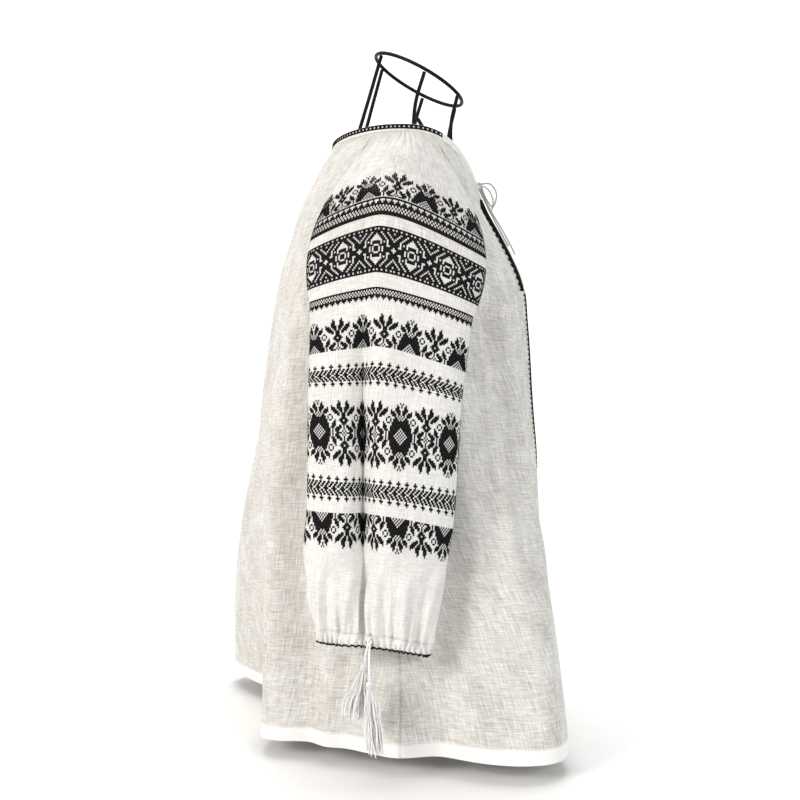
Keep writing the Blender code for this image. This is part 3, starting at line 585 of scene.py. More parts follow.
# Materials
def principled(name, roughness, sheen=0.0):
    """New material, its node tree and its Principled shader."""
    material = bpy.data.materials.new(name)
    material.use_nodes = True
    tree = material.node_tree
    shader = tree.nodes["Principled BSDF"]
    shader.inputs["Roughness"].default_value = roughness
    shader.inputs["Sheen Weight"].default_value = sheen
    return material, tree, shader


def node(tree, kind, **settings):
    """New shader node with settings; a setting that names an input sets its value."""
    made = tree.nodes.new(kind)
    for key, value in settings.items():
        if key in made.inputs:
            made.inputs[key].default_value = value
        else:
            setattr(made, key, value)
    return made


def stretched_noise(tree, source, scale, detail=3.0):
    """Noise over coordinates scaled by three numbers, so it can run along one thread direction."""
    mapping = node(tree, "ShaderNodeMapping")
    mapping.inputs["Scale"].default_value = scale
    noise = node(tree, "ShaderNodeTexNoise", Scale=1.0, Detail=detail, Roughness=0.55)
    tree.links.new(source, mapping.inputs["Vector"])
    tree.links.new(mapping.outputs["Vector"], noise.inputs["Vector"])
    return noise.outputs["Fac"]


def mix_values(tree, a, b, operation):
    """Math node on two sockets or numbers."""
    made = node(tree, "ShaderNodeMath", operation=operation)
    for socket, value in zip(made.inputs, (a, b)):
        if isinstance(value, (int, float)):
            socket.default_value = value
        else:
            tree.links.new(value, socket)
    return made.outputs[0]


def colour_ramp(tree, value, stops):
    """Colour ramp over a value from (position, colour) stops."""
    ramp_node = node(tree, "ShaderNodeValToRGB")
    elements = ramp_node.color_ramp.elements
    for k, (position, colour) in enumerate(stops):
        element = elements[k] if k < 2 else elements.new(position)
        element.position = position
        element.color = (*colour, 1.0)
    tree.links.new(value, ramp_node.inputs["Fac"])
    return ramp_node.outputs["Color"]


def cotton_material(name):
    """Open plain weave: uneven threads both ways, slubs, and a brighter, closer turned hem.

    The threads are noise stretched along the cloth's own u and v, in metres. The tone attribute is 1
    on a doubled hem, less on the closer cloth of sleeves, cuffs and band, and 0 on the body.
    """
    material, tree, shader = principled(name, 0.88, sheen=0.15)
    uv = node(tree, "ShaderNodeUVMap", uv_map="cloth").outputs["UV"]
    warp = stretched_noise(tree, uv, (900.0, 60.0, 1.0))
    weft = stretched_noise(tree, uv, (70.0, 900.0, 1.0))
    warp_slub = stretched_noise(tree, uv, (480.0, 30.0, 1.0), 2.0)
    weft_slub = stretched_noise(tree, uv, (48.0, 480.0, 1.0), 2.0)
    cloud = stretched_noise(tree, uv, (34.0, 24.0, 1.0), 4.0)
    threads = mix_values(tree, warp, weft, "ADD")
    slubs = mix_values(tree, warp_slub, weft_slub, "ADD")
    total = mix_values(tree, mix_values(tree, threads, 0.30, "MULTIPLY"),
                       mix_values(tree, slubs, 0.14, "MULTIPLY"), "ADD")
    total = mix_values(tree, total, mix_values(tree, cloud, 0.16, "MULTIPLY"), "ADD")
    base = colour_ramp(tree, total, ((0.42, (0.43, 0.405, 0.37)), (0.52, (0.64, 0.62, 0.58)),
                                     (0.62, (0.86, 0.85, 0.82))))
    tone = node(tree, "ShaderNodeAttribute", attribute_name="tone")
    mixed = node(tree, "ShaderNodeMix", data_type="RGBA")
    tree.links.new(tone.outputs["Fac"], mixed.inputs["Factor"])
    tree.links.new(base, mixed.inputs[6])
    mixed.inputs[7].default_value = (0.94, 0.93, 0.905, 1.0)
    tree.links.new(mixed.outputs[2], shader.inputs["Base Color"])
    bump = node(tree, "ShaderNodeBump", Strength=0.35, Distance=0.0004)
    tree.links.new(threads, bump.inputs["Height"])
    tree.links.new(bump.outputs["Normal"], shader.inputs["Normal"])
    shader.inputs["Subsurface Weight"].default_value = 0.25
    shader.inputs["Subsurface Radius"].default_value = (0.004, 0.0036, 0.003)
    shader.inputs["Subsurface Scale"].default_value = 1.0
    return material


def thread_material(name, dark, light, roughness=0.75, scale=900.0, soft=0.0):
    """Twisted thread: fine noise over the object's coordinates, between two colours."""
    material, tree, shader = principled(name, roughness)
    shader.inputs["Specular IOR Level"].default_value = 0.12
    shader.inputs["Subsurface Weight"].default_value = soft
    shader.inputs["Subsurface Radius"].default_value = (0.004, 0.0036, 0.003)
    shader.inputs["Subsurface Scale"].default_value = 1.0
    place = node(tree, "ShaderNodeTexCoord").outputs["Object"]
    noise = stretched_noise(tree, place, (scale, scale, scale), 2.0)
    tree.links.new(colour_ramp(tree, noise, ((0.3, dark), (0.75, light))), shader.inputs["Base Color"])
    bump = node(tree, "ShaderNodeBump", Strength=0.4, Distance=0.0003)
    tree.links.new(noise, bump.inputs["Height"])
    tree.links.new(bump.outputs["Normal"], shader.inputs["Normal"])
    return material


def wire_material(name):
    """Matt black coated steel with faint orange peel and dusty specks."""
    material, tree, shader = principled(name, 0.5)
    shader.inputs["Specular IOR Level"].default_value = 0.12
    place = node(tree, "ShaderNodeTexCoord").outputs["Object"]
    peel = stretched_noise(tree, place, (700.0, 700.0, 700.0), 2.0)
    dust = stretched_noise(tree, place, (60.0, 60.0, 60.0), 4.0)
    tree.links.new(colour_ramp(tree, dust, ((0.35, (0.003, 0.003, 0.0032)), (0.8, (0.012, 0.012, 0.0125)))),
                   shader.inputs["Base Color"])
    bump = node(tree, "ShaderNodeBump", Strength=0.15, Distance=0.0002)
    tree.links.new(peel, bump.inputs["Height"])
    tree.links.new(bump.outputs["Normal"], shader.inputs["Normal"])
    return material


def plain_material(name, colour, roughness):
    """Pale matt surface for the floor."""
    material, _, shader = principled(name, roughness)
    shader.inputs["Base Color"].default_value = (*colour, 1.0)
    return material


cotton = cotton_material("cotton_weave")
charcoal = thread_material("charcoal_thread", (0.004, 0.004, 0.0045), (0.016, 0.015, 0.016), 0.9)
white_cord = thread_material("white_cord", (0.86, 0.845, 0.81), (0.97, 0.96, 0.94), 0.8, 1400.0,
                             soft=0.6)
# Tie cord: white cord greyed all over, painted shade standing in for the shade along its sides
tie_cord_painted_shade = thread_material("tie_cord_painted_shade", (0.40, 0.39, 0.37), (0.66, 0.65, 0.62), 0.85, 1400.0)
black_wire = wire_material("black_wire_coat")

# Camera and free cords
CAMERA_X, CAMERA_Z, CAMERA_LENS = -1.35, 0.366, 52.245
camera_data = bpy.data.cameras.new("camera")
camera_data.lens = CAMERA_LENS
camera_data.sensor_width = 36.0
camera = bpy.data.objects.new("camera", camera_data)
camera.location = (CAMERA_X, 0.0, CAMERA_Z)
camera.rotation_euler = (math.pi / 2, 0.0, -math.pi / 2)
bpy.context.scene.collection.objects.link(camera)
bpy.context.scene.camera = camera

CORD_RADIUS = 0.0011
KNOT_RADIUS = 0.0036
WIRE_GAP = 0.0003
# Bow loop of the neck cord: sideways, forward and down from the knot
BOW_LOOP = (
    (0.0038, 0.0016, 0.0000),
    (0.0170, 0.0130, 0.0030),
    (0.0240, 0.0190, 0.0160),
    (0.0190, 0.0155, 0.0290),
    (0.0090, 0.0095, 0.0200),
    (0.0025, 0.0030, 0.0026),
)
TAIL_START = (0.0015, 0.0004, 0.0041)
TAIL_SPREAD = 0.009
TAIL_CLEARANCE = 0.0050
TAIL_ENDS_Z = (0.534, 0.546)
band_opening = NECK_HALF_WIDTH * math.sin(math.radians(NECK_BAND_OPENING))
neck_knot = (0.0, -(NECK_FRONT + NECK_BAND_WALL / 2 + math.sqrt(KNOT_RADIUS**2 - band_opening**2) + WIRE_GAP),
             NECK_FRONT_Z + NECK_BAND_RISE + NECK_BAND_HEIGHT / 2)


def twisted(path, radius, turns_per_metre=260.0, swell=0.12):
    """Radius along a path that swells and shrinks as a twisted cord does."""
    along = np.concatenate([[0.0], np.cumsum(np.linalg.norm(np.diff(path, axis=0), axis=1))])
    return radius * (1.0 - swell / 2 + swell / 2 * np.cos(2 * np.pi * turns_per_metre * along))


def make_cords():
    """Two bow loops and two tails of the neck's tie cord, each a free cord from the knot."""
    for word, side, end in (("right", -1.0, TAIL_ENDS_Z[0]), ("left", 1.0, TAIL_ENDS_Z[1])):
        loop = [(neck_knot[0] + side * out, neck_knot[1] - ahead, neck_knot[2] - down)
                for out, ahead, down in BOW_LOOP]
        tail = [(side * TAIL_START[0], neck_knot[1] - TAIL_START[1], neck_knot[2] - TAIL_START[2])]
        for z in np.linspace(neck_knot[2] - 0.022, end, 6):
            spread = TAIL_SPREAD * min(1.0, (neck_knot[2] - z) / 0.050)
            tail.append((side * spread, -float(hermite(BODY_ROWS, FRONT_DEPTH, z)) - TAIL_CLEARANCE, z))
        for kind, points, far_end in (("loop", loop, "object"), ("tail", tail, "bare")):
            path = smooth_path(points, 24)
            piece = make_tube(f"tie_{kind}_{word}", path, twisted(path, CORD_RADIUS), tie_cord_painted_shade, sides=10)
            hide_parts(f"neck_{kind}_{word}")
            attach(piece, "root")


make_cords()


# Body panels
def weld(made, distance=2e-6):
    """Join points of a mesh that lie on each other."""
    welded = bmesh.new()
    welded.from_mesh(made.data)
    bmesh.ops.remove_doubles(welded, verts=welded.verts, dist=distance)
    welded.to_mesh(made.data)
    welded.free()


def panel_grid(back):
    """Grid of a panel's points, with more rows at the hem, and their distances down and across."""
    columns, rows = PANEL_GRID
    upper = np.linspace(0.0, 1.0, rows // 3)
    lower = np.linspace(1.0, 1.966, rows - rows // 3 - 8)[1:]
    hem = 2.0 - np.array([0.0272, 0.0268, 0.020, 0.012, 0.006, 0.002, 0.0])
    levels = np.concatenate([upper, lower, hem])
    share = np.linspace(-1.0, 1.0, columns + 1)
    grid = np.array([body_row(level, share, back) for level in levels])
    middle = columns // 2
    down = np.concatenate([[0.0], np.cumsum(np.linalg.norm(np.diff(grid[:, middle], axis=0), axis=1))])
    across = np.concatenate([np.zeros((len(levels), 1)),
                             np.cumsum(np.linalg.norm(np.diff(grid, axis=1), axis=2), axis=1)], axis=1)
    across = across - across[:, middle:middle + 1]
    return grid, down, across


def grid_normals(grid):
    """Unit cross products of a grid's row and column differences."""
    return unit(np.cross(np.gradient(grid, axis=1), np.gradient(grid, axis=0)))


def hem_shares(grid):
    """1 on the turned hem and 0 above it."""
    return 1.0 - ramp(grid[..., 2], HEM_Z + HEM_BAND - 0.0002, HEM_Z + HEM_BAND + 0.0006)


front_grid, front_down, front_across = panel_grid(False)
back_grid, back_down, back_across = panel_grid(True)
# Height and how far the front falls back beside its middle
PLACKET_RIDGE = ((0.120, 0.0), (0.287, 0.0050), (0.420, 0.0075), (0.500, 0.0105), (0.585, 0.0110), (0.607, 0.0))
PLACKET_WIDTH = 0.011


def raise_placket(grid):
    """Front grid drawn to a soft ridge at its middle: each side falls back by
    size (1 - exp(-(|x| / width)^1.3)), where the size follows the height."""
    size = np.interp(grid[..., 2], *np.array(PLACKET_RIDGE).T)
    fall = 1.0 - np.exp(-(np.abs(grid[..., 0]) / PLACKET_WIDTH)**1.3)
    out = grid.copy()
    out[..., 1] += size * fall
    return out


def open_slit(grid):
    """How far each point of the front moves aside above the slit's end: the slit's half width at
    the middle, falling to nothing SLIT_REACH away."""
    width = SLIT_HALF_WIDTH * np.clip((grid[..., 2] - SLIT_END_Z) / SLIT_REACH, 0, 1)
    away = np.clip(1.0 - np.abs(grid[..., 0]) / SLIT_REACH, 0, 1)
    return width * away


front_grid = raise_placket(front_grid)


def make_front():
    """Front panel in two halves that meet below the slit."""
    middle = PANEL_GRID[0] // 2
    grid = front_grid
    hem = hem_shares(grid)
    grid = grid + unit(grid * np.array([1.0, 1.0, 0.0])) * (hem * HEM_DOUBLING)[..., None]
    shift = open_slit(grid)
    halves, quads, uvs, tones, start = [], [], [], [], 0
    for columns, sign in ((slice(0, middle + 1), 1.0), (slice(middle, None), -1.0)):
        half = grid[:, columns].copy()
        half[..., 0] += sign * shift[:, columns]
        halves.append(half.reshape(-1, 3))
        quads.append(grid_quads(*half.shape[:2]) + start)
        across = front_across[:, columns]
        uvs.append(np.stack([across, np.broadcast_to(front_down[:, None], across.shape)], -1).reshape(-1, 2))
        tones.append(hem[:, columns].ravel())
        start += len(halves[-1])
    made = new_piece("blouse_front", np.concatenate(halves), np.concatenate(quads), cotton,
                     np.concatenate(uvs), np.concatenate(tones))
    weld(made)
    give_wall(made)
    return made


def make_back():
    """Back panel."""
    grid = back_grid
    hem = hem_shares(grid)
    outward = unit(grid * np.array([1.0, 1.0, 0.0]))
    grid = grid + outward * (hem * HEM_DOUBLING)[..., None]
    uv = np.stack([back_across + 3.0, np.broadcast_to(back_down[:, None], back_across.shape)], axis=-1)
    made = new_piece("blouse_back", grid.reshape(-1, 3), grid_quads(*grid.shape[:2], flip=True), cotton,
                     uv.reshape(-1, 2), hem.ravel())
    give_wall(made)
    return made


# Sleeves
crown_steps = np.linspace(0.0, 1.0, 200)
crown = sleeve_head(crown_steps, np.array([0.5]))[:, 0]
crown_length = np.concatenate([[0.0], np.cumsum(np.linalg.norm(np.diff(crown, axis=0), axis=1))])
crown_length = crown_length / crown_length[-1] * SLEEVE_ARMPIT


def crease_share(distance):
    """Share of the section at which the crease's bottom lies, for each distance."""
    out = []
    for outline in sleeve_outline(np.maximum(distance, SLEEVE_ARMPIT)):
        length = np.concatenate([[0.0], np.cumsum(np.linalg.norm(np.diff(outline, axis=0), axis=1))])
        outer = outline[:, 0] < outline[:, 0].mean()
        out.append(np.interp(SLEEVE_FOLD_Y, outline[outer, 1], length[outer]) / length[-1])
    return np.array(out)


def sleeve_surface(distance, shares):
    """Right sleeve's smooth points for distances down and shares across."""
    distance = np.asarray(distance)
    head = distance < SLEEVE_ARMPIT
    t = np.interp(distance[head], crown_length, crown_steps)
    parts = []
    if head.any():
        parts.append(sleeve_head(t, shares))
    if (~head).any():
        parts.append(sleeve_tube(distance[~head], shares))
    return np.concatenate(parts)


def sleeve_creases(distance, shares):
    """Small folds out of the sleeve's surface: gathers at the neck and above the cuff, long soft
    creases between them. Each is a sine across, wandering with the distance and fading at its ends."""
    d, w = distance[:, None], shares[None, :]
    around = 2 * np.pi * w
    neck = 0.0009 * np.sin(around * 30 + 1.5 * np.sin(d * 40)) * (1 - ramp(d, 0.015, 0.09)) * ramp(d, 0.0, 0.004)
    wander = 0.7 * np.sin(d * 19 + 1.0) + 0.5 * np.sin(d * 43)
    cuff = 0.0024 * np.sin(around * 22 + wander) * ramp(d, 0.50, 0.57)
    cuff = cuff + 0.0012 * np.sin(around * 37 + 2.2 * wander + 1.0) * ramp(d, 0.53, 0.575)
    cuff = cuff + 0.0030 * np.sin(around * 9 + 2 * wander) * ramp(d, 0.46, 0.56)
    soft = 0.0009 * np.sin(around * 5 + 3.0 * np.sin(d * 11)) * ramp(d, 0.24, 0.34)
    pull = bell((w - 0.86 + 0.8 * d) / 0.022) + bell((w - 0.13 - 0.5 * d) / 0.022)
    neck = neck - 0.0036 * pull * ramp(d, 0.004, 0.03) * (1 - ramp(d, 0.06, 0.12))
    edge = ramp(w, 0.0, 0.03) * ramp(1 - w, 0.0, 0.03)
    return (neck + soft) * edge + cuff * np.where(d > SLEEVE_ARMPIT, 1.0, edge)


def sleeve_columns(count):
    """Shares across the sleeve, closer together round the crease."""
    fine = np.linspace(0.0, 1.0, 2001)
    crease = crease_share(np.array([0.4155]))[0]
    weight = 1.0 + 2.2 * bell((fine - crease) / 0.05)
    reached = np.concatenate([[0.0], np.cumsum((weight[1:] + weight[:-1]) / 2)])
    return np.interp(np.linspace(0.0, 1.0, count + 1), reached / reached[-1], fine)


sleeve_w = sleeve_columns(SLEEVE_GRID[0])
sleeve_d = np.concatenate([np.linspace(0.0, SLEEVE_ARMPIT, SLEEVE_GRID[1] * 2 // 5)[:-1],
                           np.linspace(SLEEVE_ARMPIT, SLEEVE_END, SLEEVE_GRID[1] * 3 // 5 + 1)])
sleeve_smooth = sleeve_surface(sleeve_d, sleeve_w)
sleeve_out = -grid_normals(sleeve_smooth)
if sleeve_out[80, np.argmin(np.abs(sleeve_w - 0.4)), 0] > 0:
    sleeve_out = -sleeve_out
sleeve_points = sleeve_smooth + sleeve_out * sleeve_creases(sleeve_d, sleeve_w)[..., None]


def on_side(points, side):
    """Points of the right sleeve, or of the left one as its mirror image."""
    return points * np.array([-side, 1.0, 1.0])


def make_sleeve(word, side):
    """Sleeve from the neckline to the drawstring."""
    rows, columns = sleeve_points.shape[:2]
    uv = np.stack(np.broadcast_arrays(sleeve_w[None, :] * SLEEVE_WIDTH + 6.0, sleeve_d[:, None]), axis=-1)
    made = new_piece(f"blouse_sleeve_{word}", on_side(sleeve_points, side).reshape(-1, 3),
                     grid_quads(rows, columns, flip=side < 0), cotton, uv.reshape(-1, 2),
                     np.repeat(SLEEVE_TONE * ramp(sleeve_d, 0.05, 0.30), columns))
    weld(made)
    give_wall(made)
    return made


def cuff_surface(side):
    """Ruffle below the drawstring: the sleeve's gathers run on and pass into finer waves at its edge."""
    columns, rows = CUFF_GRID
    shares = np.linspace(0.0, 1.0, columns + 1)[:-1]
    distance = np.linspace(SLEEVE_END - 0.0002, CUFF_END, rows)
    base = sleeve_tube(distance, np.linspace(0.0, 1.0, columns + 1))[:, :-1]
    ahead, behind = np.roll(base, -1, axis=1), np.roll(base, 1, axis=1)
    along = ahead - behind
    out = unit(np.stack([-along[..., 1], along[..., 0], np.zeros_like(along[..., 0])], axis=-1))
    t = np.linspace(0.0, 1.0, rows)[:, None]
    around = 2 * np.pi * shares[None, :]
    wobble = 1.6 * np.sin(around * 3 + 1.0) + 1.1 * np.sin(around * 7)
    size = RUFFLE_WAVE_SIZE * (1.0 + 0.3 * np.sin(around * 5 + 2.0))
    carried = sleeve_creases(np.array([SLEEVE_END]), shares)
    loose = ramp(t, 0.0, 0.8)
    wave = carried * (1.0 - loose) + size * loose * np.cos(RUFFLE_WAVES * around + wobble)
    points = base + out * wave[..., None]
    points[..., 2] += 0.0009 * t * np.sin(RUFFLE_WAVES * around + wobble + 0.9)
    return on_side(points, side), shares, distance


def make_cuff(word, side):
    """The ruffle of a cuff and its black blanket-stitched edge."""
    points, shares, distance = cuff_surface(side)
    rows, columns = points.shape[:2]
    uv = np.stack(np.broadcast_arrays(shares[None, :] * SLEEVE_WIDTH + 9.0, distance[:, None]), axis=-1)
    made = new_piece(f"blouse_cuff_{word}", points.reshape(-1, 3),
                     grid_quads(rows, columns, around=True, flip=side < 0), cotton, uv.reshape(-1, 2),
                     np.full(rows * columns, CUFF_TONE))
    give_wall(made)
    edge = points[-1]
    radius = EDGING_RADIUS * (1.0 + 0.35 * np.cos(2 * np.pi * EDGING_STITCHES * shares))
    edging = make_tube(f"cuff_edging_{word}", edge, radius, charcoal, sides=7, closed=True)
    return made, edging


# Cross-stitch
def charts():
    """Whole charts as arrays of true and false: rows down, stitches across one repeat, and phase."""
    def cells(rows):
        return np.array([[mark == "#" for mark in row] for row in rows])

    def mirrored(quarter):
        return np.concatenate([quarter, quarter[:, -2:0:-1]], axis=1)

    rose = mirrored(cells(ROSE_QUARTER))
    wide = mirrored(cells(WIDE_HALF))
    ladder = cells(LADDER_HALF)
    return {
        "half_rose": (rose, 0),
        "full_rose": (np.concatenate([rose, rose[-2::-1]]), 0),
        "rose_down": (rose[::-1], 0),
        "wide": (np.concatenate([wide, wide[-2::-1]]), 2),
        "border": (cells(BORDER_CHART), 0),
        "narrow": (cells(NARROW_CHART), 0),
        "ladder": (np.concatenate([ladder, ladder[-2::-1]]), 0),
    }


def upright_shares(distance, offset, base):
    """Shares of points that stand upright on a row of the sleeve's head.

    The panel's columns crowd together towards the neckline. From the base of a motif its stitches
    leave them by a share of the way to a right angle with the row: the share across changes with the
    distance down by minus P_d . P_w / P_w . P_w, P being the cloth's surface.
    """
    down = np.gradient(sleeve_smooth, sleeve_d, axis=0)
    across = np.gradient(sleeve_smooth, sleeve_w, axis=1)
    slope = -(down * across).sum(axis=-1) / (across * across).sum(axis=-1) * UPRIGHT
    reach = np.arange(-18, 19)
    soft = bell(reach / 7.0)
    slope = np.pad(slope, ((0, 0), (18, 18)), mode="edge")
    slope = np.array([np.convolve(row, soft / soft.sum(), mode="valid") for row in slope])
    share = crease_share(np.array([SLEEVE_ARMPIT]))[0] + offset
    steps = 12
    here = np.full_like(distance, base)
    for _ in range(steps):
        row_at = np.interp(here, sleeve_d, np.arange(len(sleeve_d)))
        column_at = np.interp(share, sleeve_w, np.arange(len(sleeve_w)))
        share = share + sample_grid(slope[..., None], row_at, column_at)[..., 0] * (distance - base) / steps
        here = here + (distance - base) / steps
    return share


def stitched_cells():
    """Distances and shares of every stitch's middle, and the pitch of its row."""
    total = REPEAT * REPEATS
    found = []
    table = charts()
    for name, first, last in EMBROIDERY:
        chart, phase = table[name]
        pitch = (last - first) / len(chart)
        column = np.arange(-total // 2, total // 2)
        marks = chart[:, (column - phase) % chart.shape[1]]
        row, index = np.nonzero(marks)
        distance = first + (row + 0.5) * pitch
        if name == "half_rose" and last <= SLEEVE_ARMPIT:
            share = upright_shares(distance, column[index] / total, last)
        else:
            share = np.interp(distance, sleeve_d, sleeve_crease) + column[index] / total
        if last <= SLEEVE_ARMPIT + 0.02:
            keep = (share > 0.006) & (share < 0.994)
            found.append(np.stack([distance, share, np.full(len(share), pitch)], axis=-1)[keep])
        else:
            found.append(np.stack([distance, share % 1.0, np.full(len(share), pitch)], axis=-1))
    return np.concatenate(found)


def sample_grid(grid, row_at, column_at):
    """Bilinear values of a grid at fractional row and column numbers."""
    r = np.clip(row_at, 0, grid.shape[0] - 1.001)
    c = np.clip(column_at, 0, grid.shape[1] - 1.001)
    r0, c0 = r.astype(int), c.astype(int)
    fr, fc = (r - r0)[..., None], (c - c0)[..., None]
    top = grid[r0, c0] * (1 - fc) + grid[r0, c0 + 1] * fc
    low = grid[r0 + 1, c0] * (1 - fc) + grid[r0 + 1, c0 + 1] * fc
    return top * (1 - fr) + low * fr


def stitch_arrays(corners, out, rise):
    """A cross-stitch over each four-cornered cell: nine points, four quads.

    Heights follow the X of the two threads: corners stand a little off the cloth, the cell's edges
    dip and are drawn in between the corners, and the middle, where the threads cross, stands highest.
    """
    corners = corners + out[:, None] * (CLOTH_WALL / 2)
    middle = corners.mean(axis=1, keepdims=True)
    spread = middle + (corners - middle) * STITCH_SPREAD
    edge = (spread + np.roll(spread, -1, axis=1)) / 2
    edge = middle + (edge - middle) * (1.0 - STITCH_WAIST)
    lift = out[:, None] * rise
    points = np.concatenate([spread + lift * 0.55, edge + lift * 0.25, middle + lift * 1.5], axis=1)
    one = np.array([[k, 4 + k, 8, 4 + (k + 3) % 4] for k in range(4)])
    quads = (np.arange(len(points))[:, None, None] * 9 + one[None]).reshape(-1, 4)
    return points.reshape(-1, 3), quads


def facing_out(points, quads, out):
    """Quads turned so that their faces look along the given directions, one for each quad."""
    corner = points[quads]
    normal = np.cross(corner[:, 1] - corner[:, 0], corner[:, 3] - corner[:, 0])
    inward = (normal * out).sum(axis=1) < 0
    quads = quads.copy()
    quads[inward] = quads[inward][:, ::-1]
    return quads


sleeve_crease = crease_share(sleeve_d)


def make_embroidery(word, side):
    """All cross-stitches of a sleeve in two pieces, above and below the elbow."""
    cells = stitched_cells()
    half_share = 0.5 / (REPEAT * REPEATS)
    pieces = []
    for part, chosen in (("upper", cells[:, 0] < 0.30), ("lower", cells[:, 0] >= 0.30)):
        distance, share, pitch = cells[chosen].T
        corners, outs = [], []
        for down, across in ((-1, -1), (1, -1), (1, 1), (-1, 1)):
            row_at = np.interp(distance + down * pitch / 2, sleeve_d, np.arange(len(sleeve_d)))
            column_at = np.interp(share + across * half_share, sleeve_w, np.arange(len(sleeve_w)))
            corners.append(sample_grid(sleeve_points, row_at, column_at))
            outs.append(sample_grid(sleeve_out, row_at, column_at))
        out = unit(np.mean(outs, axis=0))
        corners = on_side(np.stack(corners, axis=1), side)
        out = on_side(out, side)
        points, quads = stitch_arrays(corners, out, STITCH_RISE)
        quads = facing_out(points, quads, np.repeat(out, 4, axis=0))
        pieces.append(new_piece(f"stitches_{part}_{word}", points, quads, charcoal))
    return pieces


# Stitches beside the neck slit: across from the middle in stitches, how many above and below its end
SLIT_PITCH = 0.0019
SLIT_TOP = 0.016
SLIT_BOTTOM_Z = 0.287
SLIT_CHART = """
.###.
.####
.####
.###.
""".split()
LINE_CHART = """
##.
###
##.
""".split()


def make_slit_stitches():
    """Scalloped bands down both edges of the slit, then a narrow one down the front's middle."""
    z = front_grid[:, PANEL_GRID[0] // 2, 2]
    end = float(np.interp(-SLIT_END_Z, -z, front_down))
    bottom = float(np.interp(-SLIT_BOTTOM_Z, -z, front_down))
    cells = []
    for chart, first, last, inset in ((SLIT_CHART, SLIT_TOP, end, 0.0012), (LINE_CHART, end, bottom, 0.0)):
        for row in range(int((last - first) / SLIT_PITCH)):
            for column, mark in enumerate(chart[row % len(chart)]):
                if mark == "#":
                    across = inset + (column + 0.5) * SLIT_PITCH
                    cells += [(first + (row + 0.5) * SLIT_PITCH, sign * across) for sign in (-1, 1)]
    cells = np.array(cells)
    normals = grid_normals(front_grid)
    if normals[10, PANEL_GRID[0] // 2, 1] > 0:
        normals = -normals
    grid = front_grid.copy()
    grid[..., 0] += np.sign(grid[..., 0]) * open_slit(grid)
    row_numbers = np.arange(len(front_down))

    def column_at(row_at, across):
        level = np.clip(row_at, 0, len(front_down) - 1).astype(int)
        return np.array([np.interp(a, front_across[k], np.arange(front_across.shape[1]))
                         for k, a in zip(level, across)])

    corners, outs = [], []
    for down, side in ((-1, -1), (1, -1), (1, 1), (-1, 1)):
        row_at = np.interp(cells[:, 0] + down * SLIT_PITCH / 2, front_down, row_numbers)
        across = column_at(row_at, cells[:, 1] + side * SLIT_PITCH / 2)
        corners.append(sample_grid(grid, row_at, across))
        outs.append(sample_grid(normals, row_at, across))
    out = unit(np.mean(outs, axis=0))
    points, quads = stitch_arrays(np.stack(corners, axis=1), out, STITCH_RISE)
    return new_piece("slit_stitches", points, facing_out(points, quads, np.repeat(out, 4, axis=0)), charcoal)


# Neck band
BAND_STITCHED = (58.0, 302.0)
BAND_OVERLAP = 0.0010           # the band reaches this far below the edge of the cloth
BAND_CHART = """
###
#.#
###
""".split()


def make_neck_band():
    """Rolled band on the neckline: an oval section carried round it, open at the slit, with small
    dents where the gathers pull at it."""
    opening = math.radians(NECK_BAND_OPENING)
    angle = np.linspace(opening, 2 * math.pi - opening, 481)
    low = neck_point(angle)
    gathers = 1.0 + 0.16 * np.sin(angle * 88) + 0.08 * np.sin(angle * 37 + 1.0)
    turn = np.linspace(0.0, 2 * np.pi, 17)[:-1]
    out = unit(np.stack([-np.sin(angle), -np.cos(angle), np.zeros_like(angle)], axis=-1))
    half_height = (NECK_BAND_RISE + NECK_BAND_HEIGHT + BAND_OVERLAP) / 2
    rise = half_height - BAND_OVERLAP
    side = np.sign(np.cos(turn)) * np.abs(np.cos(turn))**0.7 * NECK_BAND_WALL / 2
    up = np.sign(np.sin(turn)) * np.abs(np.sin(turn))**0.8 * half_height
    points = low[:, None] + out[:, None] * (side[None, :] * gathers[:, None])[..., None]
    points[..., 2] += rise + up[None, :]
    rows, columns = points.shape[:2]
    quads = grid_quads(rows, columns, around=True)
    ends = [tuple(range(columns)), tuple(range((rows - 1) * columns, rows * columns))]
    made = piece_of_faces("blouse_neck_band", points.reshape(-1, 3),
                          [tuple(q) for q in quads] + [ends[0][::-1], ends[1]], cotton)
    layer = made.data.uv_layers.new(name="cloth")
    flat = np.stack(np.broadcast_arrays((angle * 0.085)[:, None], (turn * 0.0024)[None, :] + 12.0), -1)
    corner = np.zeros(len(made.data.loops), dtype=np.int32)
    made.data.loops.foreach_get("vertex_index", corner)
    layer.data.foreach_set("uv", flat.reshape(-1, 2)[corner].astype(np.float32).ravel())
    tone = made.data.attributes.new("tone", "FLOAT", "POINT")
    tone.data.foreach_set("value", np.full(rows * columns, BAND_TONE, dtype=np.float32))
    return made


